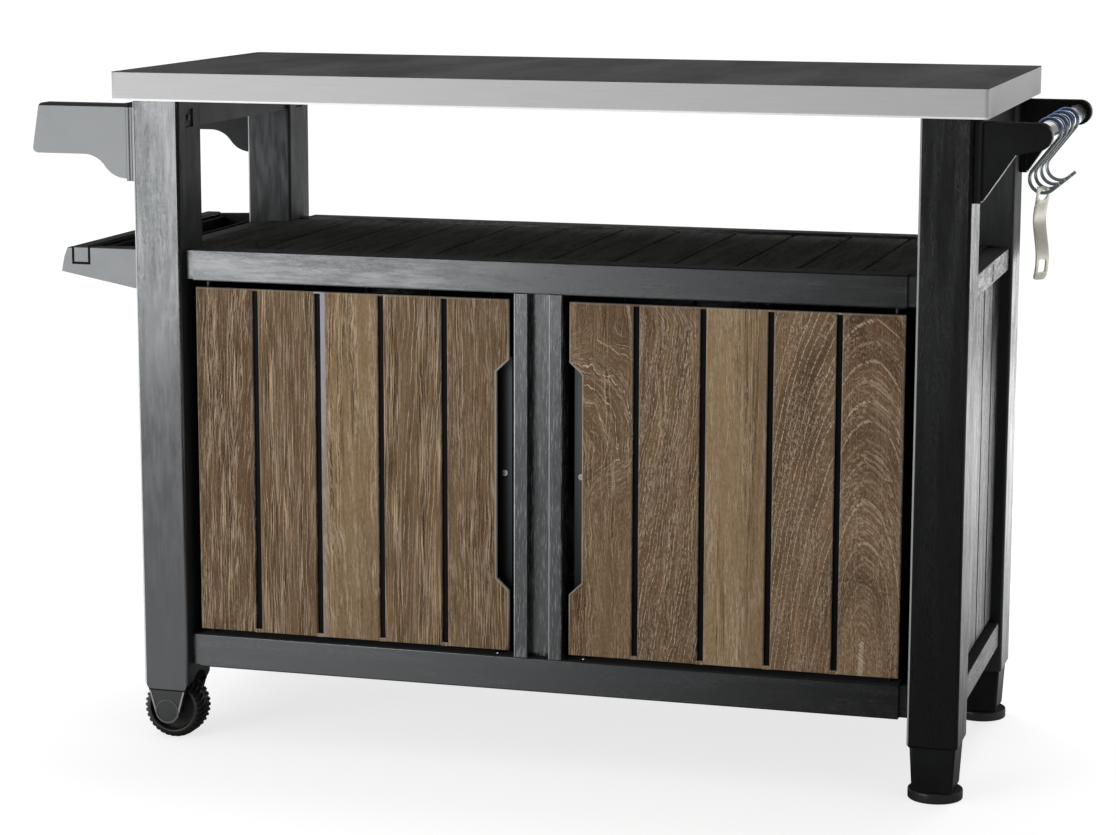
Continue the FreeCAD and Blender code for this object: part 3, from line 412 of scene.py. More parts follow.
def highlight_line_mask(net, place, x, y):
    """Mask of a line 1.2 mm wide that starts at x and runs up a front face at y."""
    away = net.absolute(net.minus(place[0], x + 0.6 * MM))
    front = net.ramp(place[1], y + 0.6 * MM, y + 0.3 * MM)
    return net.times(net.ramp(away, 0.8 * MM, 0.4 * MM), front)


def graphite(name, axis, rough, depth, colours=GRAPHITE, specular=0.72, highlight=0.9, pale=0.0,
             shaded=None, line=None):
    """Graphite resin with grain moulded along one axis.

    Shaded is three y values and a height: the resin is dull past the first value, on the side away
    from the second, and above the height in front of the third. Pale is how strongly a painted
    highlight shows on its highest ridges, and highlight how strongly the painted highlight on its
    upright edges does. Line is the x and y of one more upright edge that gets a painted highlight."""
    material, net, shader = new_material(name)
    dark, light = colours
    grain = net.use(GRAIN, {"Vector": squeezed(net, axis, 0.09)})
    tone = net.times(net.plus(grain["Tone"], clouds(net, squeezed(net, axis, 0.35), 55.0)), 0.5)
    color = net.blend(tone, rgb(*dark), rgb(*light))
    color = net.blend(net.minus(1.0, grain["Height"]), color, rgb(*GRAPHITE_PIT))
    # Painted highlight on the upright edges between the front and left faces
    color = net.blend(net.times(edge_highlight_mask(net), highlight), color, rgb(*EDGE_HIGHLIGHT))
    # Painted highlight on the highest ridges of the grain
    if pale:
        ridge = net.noise(squeezed(net, axis, 0.06), 700, 3.0, 0.6)
        color = net.blend(net.ramp(ridge, 0.52, 0.68, 0.0, pale), color, rgb(*RIDGE_HIGHLIGHT))
    gloss = net.ramp(tone, 0.2, 0.8, rough + 0.08, rough - 0.05)
    # Painted highlight along one more upright edge
    if line:
        shown = highlight_line_mask(net, net.split(net.place()), *line)
        color = net.blend(shown, color, rgb(*LINE_HIGHLIGHT))
    if shaded:
        place = net.split(net.place())
        front, back, rear, height = shaded
        high = net.ramp(place[2], height - 35 * MM, height + 5 * MM)
        high = net.times(high, net.ramp(place[1], rear - MM, rear - 3 * MM, 0.0, DULL))
        gloss = net.plus(gloss, net.larger(net.ramp(place[1], front, back, DULL, 0.0), high))
    finish(net, shader, Base_Color=color, Roughness=dusted(net, gloss),
           Normal=net.bump(grain["Height"], depth))
    shader.inputs["Specular IOR Level"].default_value = specular
    shader.inputs["Specular Tint"].default_value = SHEEN
    return material


def smooth_resin(name, dark, light, rough, specular, marks=()):
    """Plain moulded resin with a fine texture. Each mark is a mask, and the colour and the
    roughness where it is one."""
    material, net, shader = new_material(name)
    cloud = clouds(net, net.place(), 12.0)
    tooth = clouds(net, net.place(), 1500.0)
    color = net.blend(cloud, rgb(*dark), rgb(*light))
    gloss = net.ramp(cloud, 0, 1, rough - 0.03, rough + 0.04)
    for mask, marked, dull in marks:
        shown = mask(net, net.split(net.place()))
        color = net.blend(shown, color, rgb(*marked))
        gloss = net.between(shown, gloss, dull)
    finish(net, shader, Base_Color=color, Roughness=dusted(net, gloss),
           Normal=net.bump(tooth, 0.01 * MM))
    shader.inputs["Specular IOR Level"].default_value = specular
    shader.inputs["Specular Tint"].default_value = SHEEN
    return material


def fork_rim_highlight(net, place):
    """Mask of a painted highlight on the raised rim of the fork's tongue, weaker on the ring round
    the axle.
    """
    front = abs(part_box("wheel_fork_front")[0].y)
    low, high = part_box("wheel_front")
    axle = (low + high) / 2
    raised = net.ramp(net.absolute(place[1]), front - 0.6 * MM, front - 0.3 * MM)
    away = net.length(net.minus(place[0], axle.x), net.minus(place[2], axle.z))
    return net.times(raised, net.ramp(away, 16 * MM, 18 * MM, 0.2, 1.0))


def fork_top(net, place):
    """Mask of the shadow line where the fork comes out of the leg."""
    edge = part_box("leg_front_left")[0].z
    return net.ramp(place[2], edge - 2.6 * MM, edge - 1.6 * MM)


def notch_shade(net, place):
    """Mask of painted shade in the gap round the ends of the tray's crossbar, and along the tray's
    upper edge. The gap is a band to both sides of the bar's outline, which is where max(|x -
    centre| - half width, lower edge - z) is zero."""
    low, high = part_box("tray_crossbar")
    middle, half = (low + high) / 2, (high - low) / 2
    x = net.minus(net.absolute(net.minus(place[0], middle.x)), half.x)
    off = net.absolute(net.larger(x, net.minus(low.z, place[2])))
    band = net.ramp(off, 1.9 * MM, 1.5 * MM)
    band = net.times(band, net.ramp(place[2], high.z + 4 * MM, high.z + 3 * MM))
    band = net.times(band, net.ramp(net.absolute(place[1]), half.y - 4 * MM, half.y - 3 * MM))
    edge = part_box("tray_side_front")[1].z
    return net.larger(band, net.ramp(place[2], edge - 3.6 * MM, edge - 2.0 * MM, 0.0, 0.8))


def arm_edge(net, place):
    """Mask of the rolled upper edge of the front roll arm."""
    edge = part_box("roll_arm_front")[1].z
    return net.ramp(place[2], edge - 4.4 * MM, edge - 3.2 * MM)


def door_resin(side):
    """Resin of a door carcass: black in the grooves as painted shade, paler in the handle recess,
    where the resin is smooth and fades towards its lower end. On the left door the recess darkens
    towards the plank wall as painted shade."""
    material, net, shader = new_material("door_resin_" + side)
    low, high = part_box("door_" + side + "_panel")
    place = net.split(net.place())
    inner = low.x if side == "right" else high.x
    across = net.absolute(net.minus(place[0], inner))
    near = net.ramp(across, RECESS_DEPTH + 3 * MM, RECESS_DEPTH + 1.5 * MM)
    away = net.absolute(net.minus(place[2], RECESS_MIDDLE))
    tall = net.ramp(away, RECESS_LENGTH / 2 + 2 * MM, RECESS_LENGTH / 2)
    fade = net.ramp(place[2], RECESS_MIDDLE - 0.2, RECESS_MIDDLE + 0.15, 0.12, 1.0)
    recess = net.times(net.times(near, tall), fade)
    # Painted shade: the left door's recess darkens towards the plank wall
    if side == "left":
        recess = net.times(recess, net.ramp(across, RECESS_DEPTH, 2 * MM, 0.05, 0.75))
    # Painted shade: near black stands for the shade deep in the grooves
    dark = net.blend(clouds(net, net.place(), 14.0), rgb(9, 9, 9), rgb(15, 15, 14))
    color = net.blend(recess, dark, rgb(104, 110, 108))
    finish(net, shader, Base_Color=color, Roughness=0.55)
    shader.inputs["Specular IOR Level"].default_value = 0.05
    return material


def oak_print():
    """Oak print on the door planks, cut differently for each plank by its attributes.

    Edge is how strong a painted highlight a point has where it faces left, faces up and lies on the
    handle recess.
    Sheen_and_stain is how strongly a painted reflection runs as a pale strip down the left edge,
    and how dark the right part is."""
    material, net, shader = new_material("oak_print")
    across, along = net.split(net.put("ShaderNodeUVMap", uv_map="plank").outputs[0])[:2]
    given = {"Across": across, "Along": along}
    for label, names in (("cut", ("Centre", "Depth", "Taper")),
                         ("look", ("Seed", "Light", "Swirl")),
                         ("rings", ("Rings", "Line", "Streak")),
                         ("drift", ("Lean", "Top", "Bottom"))):
        given.update(zip(names, net.attribute(label)))
    made = net.use(OAK, given)
    edge, sheen_and_stain = net.attribute("edge"), net.attribute("sheen_and_stain")
    # Painted reflection: a pale strip down the left edge, stronger higher up
    strip = net.times(net.ramp(across, -31 * MM, -33 * MM), net.ramp(along, 0.3, 0.6, 0.2, 0.9))
    color = net.blend(net.times(strip, sheen_and_stain[0]), made["Color"], rgb(*SIDE_HIGHLIGHT))
    wave = net.times(net.noise(net.scaled(net.place(), (1.0, 1.0, 0.12)), 150.0, 3.0), 40 * MM)
    heart = net.times(net.ramp(net.plus(across, wave), 24 * MM, 40 * MM), sheen_and_stain[1])
    color = net.blend(heart, color, rgb(*OAK_HEART), "MULTIPLY")
    # Painted highlights where edges face left, face up and line the handle recess
    for part, highlight in zip(edge, (SIDE_HIGHLIGHT, UPPER_HIGHLIGHT, RECESS_HIGHLIGHT)):
        color = net.blend(part, color, rgb(*highlight))
    finish(net, shader, Base_Color=color, Roughness=net.ramp(made["Height"], 0, 1, 0.5, 0.62),
           Normal=net.bump(made["Height"], 0.25 * MM))
    shader.inputs["Specular IOR Level"].default_value = 0.05
    return material


def metal(name, dark, light, rough, metallic, stretch=(1.0, 1.0, 1.0), scale=400.0, tint=None):
    """Metal with fine brushed lines along the axis that the stretch squeezes.

    Tint is a colour, and the heights between which it comes in."""
    material, net, shader = new_material(name)
    brush = clouds(net, net.scaled(net.place(), stretch), scale)
    color = net.blend(brush, rgb(*dark), rgb(*light))
    if tint:
        colour, low, high = tint
        color = net.blend(net.ramp(net.split(net.place())[2], low, high), color, rgb(*colour))
    gloss = net.ramp(clouds(net, net.place(), 6.0), 0, 1, rough - 0.04, rough + 0.05)
    finish(net, shader, Base_Color=color, Metallic=metallic, Roughness=gloss,
           Normal=net.bump(brush, 0.02 * MM))
    return material


def worktop_steel():
    """Steel sheet with its light painted in: a painted dark reflection on the top face, a painted
    bright reflection on the rim, and painted highlights at its lower fold and on its right end."""
    material, net, shader = new_material("worktop_steel")
    low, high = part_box("worktop_sheet")
    place = net.place()
    x, _, z = net.split(place)
    # Painted light: the top face dark as a painted reflection, the rim bright, its lower fold and
    # right end brighter as painted highlights
    top = net.ramp(z, high.z - 1.2 * MM, high.z - 0.2 * MM)
    fold_highlight = net.ramp(z, low.z + 3.0 * MM, low.z + 2.0 * MM)
    end = net.ramp(x, high.x - 0.6 * MM, high.x - 0.1 * MM)
    cloud = clouds(net, net.scaled(place, (3.0, 0.8, 1.0)), 2.2)
    brush = clouds(net, net.scaled(place, (0.02, 1.0, 1.0)), 700.0)
    lit_rim = net.blend(brush, rgb(177, 177, 178), rgb(184, 184, 185))
    lit_rim = net.blend(end, lit_rim, rgb(228, 228, 228))
    lit_rim = net.blend(fold_highlight, lit_rim, rgb(232, 232, 232))
    face = net.blend(cloud, rgb(56, 56, 57), rgb(78, 78, 79))
    finish(net, shader, Base_Color=net.blend(top, lit_rim, face),
           Metallic=net.ramp(top, 0, 1, 0.10, 0.0), Roughness=net.ramp(top, 0, 1, 0.5, 0.55),
           Normal=net.bump(brush, 0.01 * MM))
    shader.inputs["Specular IOR Level"].default_value = 0.0
    return material


# Shapes

def new_mesh(name, points, faces, body, material):
    """Smooth mesh object from arrays of points and faces, on a body of the cart."""
    mesh = bpy.data.meshes.new(name)
    mesh.from_pydata(points.tolist(), [], faces)
    mesh.validate()
    mesh.shade_smooth()
    mesh.set_sharp_from_angle(angle=math.radians(35))
    thing = bpy.data.objects.new(name, mesh)
    bpy.context.scene.collection.objects.link(thing)
    mesh.materials.append(material)
    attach(thing, body)
    return thing


def grid_faces(rows, columns, close_rows=False):
    """Quads between neighbours of a grid of points stored row by row, whose columns join
    up into rings."""
    r = np.arange(rows if close_rows else rows - 1)
    r, c = (a.ravel() for a in np.meshgrid(r, np.arange(columns), indexing="ij"))
    r2, c2 = (r + 1) % rows, (c + 1) % columns
    corners = [r * columns + c, r * columns + c2, r2 * columns + c2, r2 * columns + c]
    return np.stack(corners, 1).tolist()


def inset(outline, distance):
    """Closed outline moved inwards: each corner goes along the sum of its two edge normals,
    divided by one plus their dot product, times the distance. The outline turns left."""
    ahead = np.roll(outline, -1, 0) - outline
    ahead /= np.linalg.norm(ahead, axis=1, keepdims=True)
    normal = np.stack([-ahead[:, 1], ahead[:, 0]], 1)
    before = np.roll(normal, 1, 0)
    share = 1 + (normal * before).sum(1, keepdims=True)
    return outline + distance * (normal + before) / share


def rounded_plate(outline, front, back, radius, steps=4):
    """Plate in x and z with a quarter-round along its front edge.

    At the angle a the ring is inset by radius times 1 - cos a and lies radius times
    1 - sin a behind the front."""
    rings = [np.insert(outline, 1, back, axis=1)]
    for a in np.linspace(0, math.pi / 2, steps + 1):
        ring = inset(outline, radius * (1 - math.cos(a)))
        rings.append(np.insert(ring, 1, front + radius * (1 - math.sin(a)), axis=1))
    count = len(outline)
    faces = [face[::-1] for face in grid_faces(len(rings), count)]
    last = (len(rings) - 1) * count
    faces.append(list(range(last, last + count)))
    faces.append(list(range(count))[::-1])
    return np.concatenate(rings), faces


def soften(name, width, material):
    """Gives a CAD node its material, and a small round along its sharp edges."""
    thing = nodes[name]
    thing.data.materials.clear()
    thing.data.materials.append(material)
    weld = thing.modifiers.new("weld", "WELD")
    weld.merge_threshold = 1e-6
    bevel = thing.modifiers.new("round", "BEVEL")
    bevel.width = width
    bevel.segments = 2
    bevel.limit_method = "ANGLE"
    bevel.angle_limit = math.radians(40)
    bevel.harden_normals = True
    bevel.use_clamp_overlap = True


# Doors

# Each plank from the middle of the cart outwards: ring centre across, ring depth at the
# floor and taper along the plank; how light it is and how far its rings swirl; rings per
# metre, how strong the ring lines are, how straight and streaky its fibres run; how the
# centre leans along the plank, the heights above and below which its lines run straight;
# how strongly a painted reflection runs as a pale strip down its left edge, and how dark
# its right part is
RIGHT_CUTS = [
    (-0.326, -0.0875, 0.50, -0.05, 0.030, 260, 1.0, 0.6, 0.55, 0.560, 0.42, 0.0, 0.0),
    (-0.280, 0.030, 0.00, -0.12, 0.024, 230, 1.0, 0.4, 0.16, 0.590, 0.0, 0.0, 0.0),
    (0.160, 0.020, 0.03, 0.75, 0.014, 190, 0.3, 0.7, 0.0, 1.0, 0.0, 0.0, 0.25),
    (0.100, 0.025, 0.22, 0.06, 0.008, 200, 0.9, 0.15, 0.0, 1.0, 0.0, 0.0, 0.0),
    (-0.012, -0.032, 0.22, -0.04, 0.005, 175, 0.85, 0.0, 0.02, 1.0, 0.0, 0.0, 0.0)]
LEFT_CUTS = [
    (-0.160, 0.030, 0.04, -0.12, 0.010, 190, 0.4, 0.9, 0.0, 1.0, 0.0, 0.0, 0.0),
    (0.130, 0.050, 0.07, -0.08, 0.012, 190, 0.8, 1.0, 0.0, 1.0, 0.0, 0.0, 0.0),
    (-0.110, 0.060, 0.06, 0.45, 0.016, 190, 0.4, 0.8, 0.0, 1.0, 0.0, 1.0, 0.0),
    (0.160, 0.020, 0.04, -0.20, 0.014, 190, 0.6, 1.0, 0.0, 1.0, 0.0, 0.0, 0.0),
    (0.100, 0.010, 0.10, -0.66, 0.016, 190, 0.3, 0.9, 0.0, 1.0, 0.0, 0.0, 0.0)]

# How strong a painted highlight each corner of the first plank's outline has: only those of the
# handle recess have one
RECESS_CORNER_HIGHLIGHT = np.array((0, 0, 0, 0, 0.9, 0.9, 0.6, 0.6))


def plank_outline(left, right, low, high, recess):
    """Outline of one plank, turning left as seen from the front, with the handle recess on
    its left edge where it has one."""
    points = [(left, low), (right, low), (right, high), (left, high)]
    if recess:
        bottom, top = RECESS_MIDDLE - RECESS_LENGTH / 2, RECESS_MIDDLE + RECESS_LENGTH / 2
        deep = left + RECESS_DEPTH
        points += [(left, top), (deep, top - RECESS_CHAMFER), (deep, bottom + RECESS_CHAMFER),
                   (left, bottom)]
    return np.array(points)


def edge_highlights(outline, points, front, radius, towards, highlight, recess_shine):
    """How strong a painted highlight each point of a rounded plate has where it faces left, faces
    up, and lies on the handle recess.

    The share of a point's normal that lies in the plate's plane is sqrt(1 - (1 - bend)^2),
    where bend is its distance behind the front in radii."""
    rings = len(points) // len(outline)
    bend = (points[:, 1] - front) / radius
    bend = np.where(bend < 1.01, np.sqrt(np.clip(1 - (1 - bend) ** 2, 0, 1)), 0)
    outwards = np.tile(outline - inset(outline, 1.0), (rings, 1))
    left = np.clip(towards * outwards[:, 0], 0, 1) * bend * PLANK_SIDE_HIGHLIGHT
    up = np.clip(outwards[:, 1], 0, 1) * bend * highlight
    held = np.tile(RECESS_CORNER_HIGHLIGHT[:len(outline)] * recess_shine, rings) * (points[:, 1] > front + 0.02 * radius)
    return np.stack([left, up, held], 1)


def door_planks(side, cuts, material):
    """Five planks with round edges, and the borders that join them above and below."""
    name = "door_" + side
    mirrored = side == "left"
    # The left door, nearer the light, gets stronger painted highlights
    towards, recess_shine, border_shine = (1, 1.0, 0.8) if mirrored else (-1, 0.45, 0.4)
    low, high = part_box(name + "_panel")
    plank = (high.x - low.x - EDGE_PLANK_EXTRA - (PLANKS - 1) * PLANK_GAP) / PLANKS
    points, faces, uvs = [], [], []
    rows = {"cut": [], "look": [], "rings": [], "drift": [], "sheen_and_stain": [], "edge": []}
    total = 0

    def add(outline, front, radius, middle, cut, seed, highlight):
        nonlocal total
        made, made_faces = rounded_plate(outline, front, high.y, radius)
        rows["edge"].append(edge_highlights(outline, made, front, radius, towards, highlight, recess_shine))
        points.append(made)
        faces.extend([[i + total for i in face] for face in made_faces])
        uvs.append(np.stack([made[:, 0] - middle, made[:, 2]], 1))
        for label, values in (("cut", cut[:3]), ("look", (seed, *cut[3:5])), ("rings", cut[5:8]),
                              ("drift", cut[8:11]), ("sheen_and_stain", (*cut[11:], 0.0))):
            rows[label].append(np.tile(values, (len(made), 1)))
        total += len(made)

    start = 0.0
    for number, cut in enumerate(cuts):
        end = start + plank + (EDGE_PLANK_EXTRA if number == 0 else 0)
        middle = (start + end) / 2
        outline = plank_outline(start, end, low.z, high.z, number == 0)
        seed = 3.7 * number + (11.0 if mirrored else 0.0)
        add(outline, low.y, PLANK_ROUND, middle, cut, seed, PLANK_TOP_HIGHLIGHT)
        if number < PLANKS - 1:
            left, right = end - BORDER_OVERLAP, end + PLANK_GAP + BORDER_OVERLAP
            for z0, z1 in ((low.z, low.z + BORDER_LOW), (high.z - BORDER_HIGH, high.z)):
                strip = plank_outline(left, right, z0, z1, False)
                add(strip, low.y + BORDER_SETBACK, BORDER_ROUND, middle, cut, seed, border_shine)
        start = end + PLANK_GAP
    points = np.concatenate(points)
    uvs = np.concatenate(uvs)
    if mirrored:
        points[:, 0] = high.x - points[:, 0]
        uvs[:, 0] *= -1
        faces = [face[::-1] for face in faces]
    else:
        points[:, 0] += low.x
    thing = new_mesh(name + "_planks", points, faces, name, material)
    mesh = thing.data
    layer = mesh.uv_layers.new(name="plank")
    corner = np.zeros(len(mesh.loops), int)
    mesh.loops.foreach_get("vertex_index", corner)
    layer.data.foreach_set("uv", uvs[corner].astype(np.float32).ravel())
    for label, blocks in rows.items():
        values = np.concatenate(blocks).astype(np.float32)
        layer = mesh.attributes.new(label, "FLOAT_VECTOR", "POINT")
        layer.data.foreach_set("vector", values.ravel())
    thing.modifiers.new("flat faces", "WEIGHTED_NORMAL").keep_sharp = True
    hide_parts(name + "_panel")


# Wheels

def wheel(side, material):
    """Wheel turned about its axle, with slanted lugs on both shoulders of the tread.

    The profile runs from the bore over the hub, web and rim to the tread and back. In the
    tread the radius drops by a square wave of the turn plus a slant times the distance
    from the middle, smoothed at its steps, and by a groove round the middle."""
    name = "wheel_" + side
    low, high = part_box(name)
    centre = (low + high) / 2
    hub = (high.y - low.y) / 2 / MM
    profile = [(WHEEL_BORE, -hub), (HUB_RADIUS - 1, -hub), (HUB_RADIUS, 1 - hub),
               (HUB_RADIUS, -WEB_HALF - 0.5), (HUB_RADIUS + 1.5, -WEB_HALF),
               (BAND_RADIUS - 2, -WEB_HALF), (BAND_RADIUS, -WEB_HALF - 1.5),
               (BAND_RADIUS, 1.5 - TYRE_HALF), (BAND_RADIUS + 0.5, 0.4 - TYRE_HALF),
               (BAND_RADIUS + 1.5, -TYRE_HALF)]
    a = np.linspace(0, math.pi / 2, 9)
    flat = TYRE_HALF - TYRE_SHOULDER
    shoulder = np.stack([WHEEL_RADIUS - TYRE_SHOULDER * (1 - np.sin(a)),
                         -flat - TYRE_SHOULDER * np.cos(a)], 1)
    tread = np.stack([np.full(17, WHEEL_RADIUS), np.linspace(-flat, flat, 17)], 1)
    half = np.concatenate([np.array(profile), shoulder])
    line = np.concatenate([half, tread[1:-1], half[::-1] * (1, -1)])
    angle = np.arange(WHEEL_STEPS) * 2 * math.pi / WHEEL_STEPS
    r, s = line[:, 0][:, None], line[:, 1][:, None]
    wave = np.sin(angle[None, :] * LUGS + np.abs(s) * LUG_SLANT + np.where(s > 0, math.pi, 0))
    outside = np.clip((r - LUG_FOOT) / LUG_RISE, 0, 1)
    drop = LUG_DEPTH * np.clip(0.5 - wave * LUG_STEEPNESS, 0, 1)
    drop = drop * outside * np.clip((np.abs(s) - LUG_START) / LUG_FADE, 0, 1)
    groove = MIDDLE_GROOVE * np.clip(MIDDLE_GROOVE - np.abs(s), 0, 1) * outside
    r = (r - drop - groove) * MM
    s = s * MM * np.ones((1, WHEEL_STEPS))
    points = [centre.x + r * np.cos(angle), centre.y + s, centre.z + r * np.sin(angle)]
    points = np.stack(points, -1).reshape(-1, 3)
    faces = grid_faces(len(line), WHEEL_STEPS, close_rows=True)
    thing = new_mesh(name + "_tread", points, faces, name, material)
    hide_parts(name)


# Camera, lamps and floor

def placed(thing, place, right, up, back):
    """Puts a camera or lamp at a place, with its three axes turned, into the scene."""
    turned = Matrix(np.stack([right, up, back], 1).tolist()).to_4x4()
    turned.translation = place
    thing.matrix_world = turned
    bpy.context.scene.collection.objects.link(thing)


def camera():
    """Camera fitted to the photograph."""
    heading, tilt, roll = (math.radians(a) for a in CAMERA_TURN)
    ahead = np.array([math.sin(heading) * math.cos(tilt), math.cos(heading) * math.cos(tilt),
                      math.sin(tilt)])
    right = np.array([math.cos(heading), -math.sin(heading), 0.0])
    down = np.cross(ahead, right)
    across = math.cos(roll) * right + math.sin(roll) * down
    below = -math.sin(roll) * right + math.cos(roll) * down
    data = bpy.data.cameras.new("camera")
    data.sensor_width = CAMERA_SENSOR
    data.lens = CAMERA_LENS
    data.clip_end = 200.0
    thing = bpy.data.objects.new("camera", data)
    placed(thing, CAMERA_PLACE, across, -below, -ahead)
    bpy.context.scene.camera = thing


def lamp(name, place, aim, width, height, watts, mirrored=True):
    """Soft rectangular lamp at a place, facing its aim, which gloss may mirror or not."""
    data = bpy.data.lights.new(name, "AREA")
    data.shape = "RECTANGLE"
    data.size, data.size_y = width, height
    data.energy = watts
    thing = bpy.data.objects.new(name, data)
    ahead = np.array(aim) - np.array(place)
    ahead = ahead / np.linalg.norm(ahead)
    side = np.cross(ahead, (0, 0, 1))
    side = side / np.linalg.norm(side)
    placed(thing, place, side, np.cross(side, ahead), -ahead)
    thing.visible_glossy = mirrored


def rays(net):
    """Masks of the rays that gloss sends out, and of those of the camera, also past glass."""
    kinds = net.put("ShaderNodeLightPath").outputs
    return kinds["Is Glossy Ray"], net.larger(kinds["Is Camera Ray"], kinds["Is Transmission Ray"])


def surroundings():
    """White to the camera, to glass and to gloss that looks past the cart; dim in front of it."""
    world = bpy.data.worlds.new("studio")
    bpy.context.scene.world = world
    net = emptied(world)
    glossy, seen = rays(net)
    way = net.split(net.put("ShaderNodeTexCoord").outputs["Generated"])
    gloss = net.ramp(way[1], -0.4, 0.15, 0.02, 1.0)
    gloss = net.times(gloss, net.ramp(way[0], 0.2, 0.4, 1.0, 0.35))
    strength = net.larger(net.times(glossy, gloss), seen)
    rest = net.minus(1.0, net.larger(seen, glossy))
    strength = net.plus(strength, net.times(rest, 0.42))
    back = net.put("ShaderNodeBackground", {"Color": WHITE, "Strength": strength})
    end = net.put("ShaderNodeOutputWorld")
    net.feed(back.outputs[0], end.inputs[0])


def floor_gloss(net, x, y):
    """How bright gloss sees each part of the floor: bright behind the cart and past its
    ends, dark under it and in a wedge behind its right end."""

    def slanted(slope):
        return net.minus(x, net.times(y, slope))

    dim = net.times(net.ramp(slanted(0.3), 0.0, 0.2), net.ramp(y, 2.5, 4.0))
    behind = net.plus(net.ramp(dim, 0.0, 1.0, 2.0, 0.08), net.ramp(y, 7.0, 12.0, 0.0, 0.12))
    behind = net.times(behind, net.ramp(y, -1.0, 2.8, 0.01, 1.0))
    right = net.times(net.ramp(x, 1.5, 3.0, 0.0, 1.4), net.ramp(y, 1.5, 0.5))
    left = net.ramp(slanted(0.16), 0.66, -0.52, 0.0, 1.7)
    under = net.ramp(net.absolute(y), 0.5, 0.25, 0.0, 0.95)
    under = net.times(net.ramp(net.absolute(x), 0.65, 0.5), under)
    mirrored = net.larger(net.larger(behind, right), left)
    return net.times(mirrored, net.minus(1.0, under))


def floor():
    """Round pale floor. It shows the shadow near the cart and runs out to plain white."""
    angle = np.arange(FLOOR_CORNERS) * 2 * math.pi / FLOOR_CORNERS
    ring = np.stack([np.cos(angle), np.sin(angle), np.zeros(FLOOR_CORNERS)], 1) * FLOOR_RADIUS
    mesh = bpy.data.meshes.new("floor")
    mesh.from_pydata(ring.tolist(), [], [list(range(FLOOR_CORNERS))])
    thing = bpy.data.objects.new("floor", mesh)
    bpy.context.scene.collection.objects.link(thing)
    material = bpy.data.materials.new("pale_floor")
    net = emptied(material)
    glossy, seen = rays(net)
    place = net.place()
    away = net.put("ShaderNodeVectorMath", {0: place}, operation="LENGTH").outputs["Value"]
    far = net.ramp(away, SHADOW_NEAR, SHADOW_FAR)
    share = net.larger(net.times(seen, net.plus(0.5, net.times(far, 0.5))), glossy)
    x, y, _ = net.split(place)
    level = net.minus(GLOW_NEAR, net.times(far, GLOW_FALL))
    strength = net.plus(level, net.times(glossy, net.minus(floor_gloss(net, x, y), level)))
    matte = net.put("ShaderNodeBsdfDiffuse", {"Color": PALE})
    glow = net.put("ShaderNodeEmission", {"Color": WHITE, "Strength": strength})
    mixed = net.put("ShaderNodeMixShader", {0: share, 1: matte.outputs[0], 2: glow.outputs[0]})
    end = net.put("ShaderNodeOutputMaterial")
    net.feed(mixed.outputs[0], end.inputs[0])
    mesh.materials.append(material)


# Which piece wears what

def graphite_finishes():
    """Grained resin, with the pieces that wear each kind."""
    front_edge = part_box("leg_front_left")[0].y
    rear_front, rear_back = (corner.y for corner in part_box("leg_rear_left"))
    deck_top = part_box("shelf_deck")[1].z
    post_low, post_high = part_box("centre_post")
    post_edge = (post_high.x - 18 * MM, post_low.y)
    return {
        graphite("graphite_dull", "z", 0.24, 0.05 * MM, specular=0.22, highlight=0.5):
            ["leg_front_right"],
        graphite("graphite_post", "z", 0.19, 0.06 * MM, pale=0.48, line=post_edge):
            ["centre_post"],
        graphite("graphite_outward", "z", 0.19, 0.06 * MM,
                 shaded=(front_edge + 4 * MM, front_edge + 2 * MM, front_edge, 0.0)):
            ["leg_front_left"],
        graphite("graphite_upright", "z", 0.19, 0.06 * MM):
            ["side_panel_left", "side_panel_right", "back_panel"],
        graphite("graphite_inward", "z", 0.19, 0.03 * MM,
                 shaded=(rear_front + MM, rear_front + 3 * MM, rear_back, deck_top + 4 * MM)):
            ["leg_rear_left", "leg_rear_right"],
        graphite("graphite_along", "x", 0.20, 0.04 * MM):
            ["shelf_rail_front", "shelf_rail_rear", "base_rail_front", "base_rail_rear"],
        graphite("graphite_crosswise", "y", 0.24, 0.06 * MM, ((13, 13, 13), (22, 22, 22))):
            ["shelf_rail_left", "shelf_rail_right", "base_rail_left", "base_rail_right"],
        graphite("graphite_deck", "y", 0.7, 0.2 * MM, ((68, 68, 63), (92, 92, 86)), specular=0.04):
            ["shelf_deck"],
    }


def smooth_finishes():
    """Plain resin, with the pieces that wear each kind."""
    glossy = (20, 20, 21), (28, 29, 30), 0.18, 0.52
    return {
        door_resin("left"): ["door_left_frame"],
        door_resin("right"): ["door_right_frame"],
        smooth_resin("smooth_resin", *glossy, [(arm_edge, (26, 27, 28), 1.0)]):
            ["roll_arm_brackets", "roll_arm_front", "roll_bar"],
        smooth_resin("tray_resin", *glossy, [(notch_shade, (6, 6, 6), 1.0)]):
            ["tray_side_front", "tray_crossbar"],
        smooth_resin("dull_resin", (20, 20, 20), (29, 30, 30), 0.34, 0.1):
            ["foot_block_front", "foot_block_rear", "hook_arm_brackets", "hook_arm_front",
             "hook_arm_rear"],
        smooth_resin("foot_resin", (36, 36, 36), (48, 48, 48), 0.3, 0.5):
            ["levelling_foot_front", "levelling_foot_rear"],
        # Black resin; the rear roll arm and the rear tray side wear it as painted shade, darker
        # than the front ones of the same resin
        smooth_resin("black_resin_and_painted_shade", (12, 12, 12), (20, 20, 20), 0.5, 0.2):
            ["worktop_core", "cabinet_floor", "top_beam_left", "top_beam_right", "tray_bin",
             "roll_arm_rear", "tray_side_rear"],
        smooth_resin("fork_resin", (34, 35, 35), (44, 45, 45), 0.42, 0.3,
                     [(fork_rim_highlight, (140, 142, 141), 0.6), (fork_top, (5, 5, 5), 1.0)]):
            ["wheel_fork_front", "wheel_fork_rear"],
    }


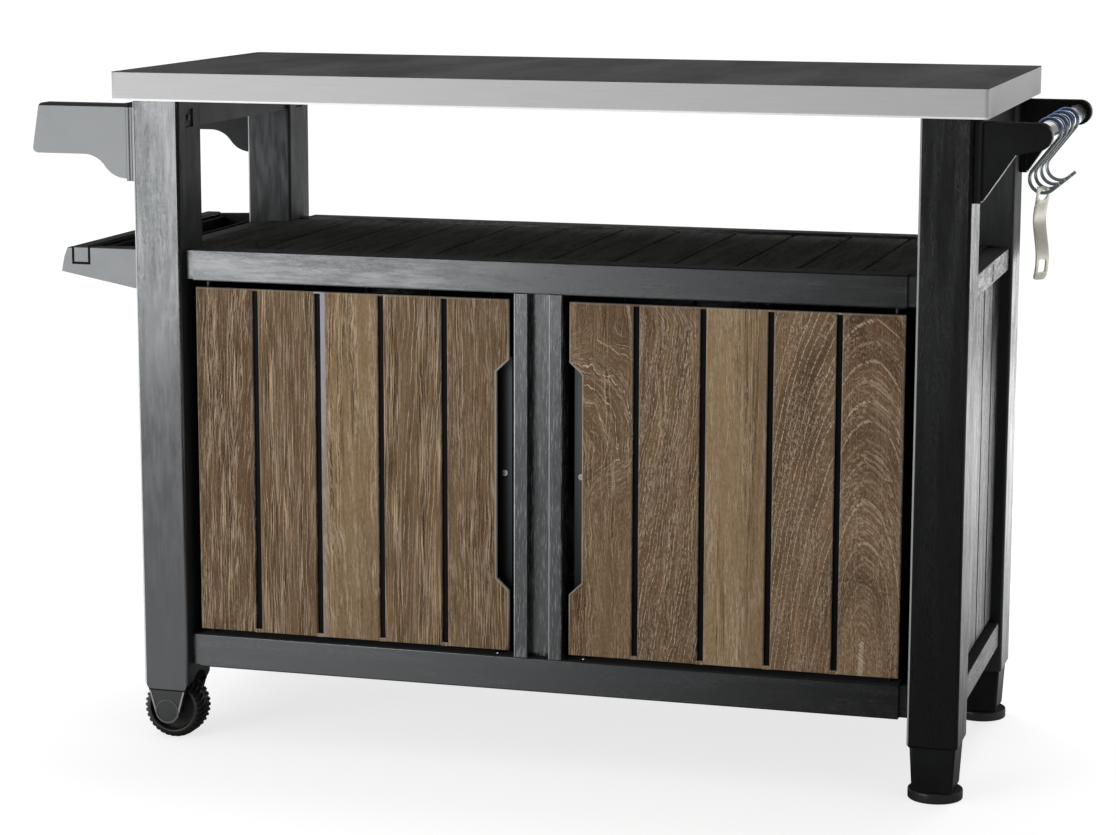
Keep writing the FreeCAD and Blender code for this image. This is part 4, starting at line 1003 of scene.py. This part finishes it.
def metal_finishes():
    """Metals, with the pieces that wear each kind."""
    return {
        worktop_steel(): ["worktop_sheet"],
        metal("screw_steel", (110, 110, 112), (150, 150, 150), 0.3, 1.0):
            ["door_left_screw", "door_right_screw"],
        metal("bright_steel", (170, 170, 172), (205, 205, 205), 0.25, 1.0):
            ["wheel_axles", "door_magnets"],
        metal("rod_chrome", (205, 206, 208), (222, 222, 222), 0.1, 1.0, (1.0, 0.05, 1.0), 900.0):
            ["hook_rod"],
        metal("hook_steel", (134, 140, 142), (164, 170, 172), 0.3, 0.6,
              tint=((104, 126, 170), 0.838, 0.847)):
            ["hook_1", "hook_2", "hook_3", "hook_4"],
        metal("dark_steel", (44, 44, 46), (66, 66, 68), 0.45, 1.0):
            ["frame_screws", "door_left_pins", "door_right_pins", "door_left_strike",
             "door_right_strike"],
        metal("opener_steel", (222, 219, 206), (240, 237, 224), 0.36, 0.6, (1.0, 1.0, 0.08), 700.0):
            ["bottle_opener"],
    }


def edge_round(name):
    """Radius of the round along a node's edges."""
    small = ("hook_1", "hook_2", "hook_3", "hook_4", "bottle_opener", "frame_screws",
             "door_left_screw", "door_right_screw")
    if name in small:
        return SMALL_ROUND
    return LEG_ROUND if name.startswith("leg_") else EDGE_ROUND


def dress():
    """Materials and edge rounds for every node, and the pieces that stand for some of them."""
    for finishes in (graphite_finishes(), smooth_finishes(), metal_finishes()):
        for material, names in finishes.items():
            for name in names:
                soften(name, edge_round(name), material)
    oak = oak_print()
    door_planks("left", LEFT_CUTS, oak)
    door_planks("right", RIGHT_CUTS, oak)
    rubber = smooth_resin("wheel_black", (22, 21, 20), (38, 35, 32), 0.38, 0.3)
    wheel("front", rubber)
    wheel("rear", rubber)


dress()
camera()
lamp("key", (-1.95, -3.0, 0.72), (-0.1, -0.24, 0.6), 2.0, 1.3, 60)
lamp("overhead", (0.1, 0.9, 3.2), (0.0, 0.0, 0.4), 2.4, 1.6, 60, mirrored=False)
surroundings()
floor()
bpy.context.scene.view_settings.view_transform = "Standard"
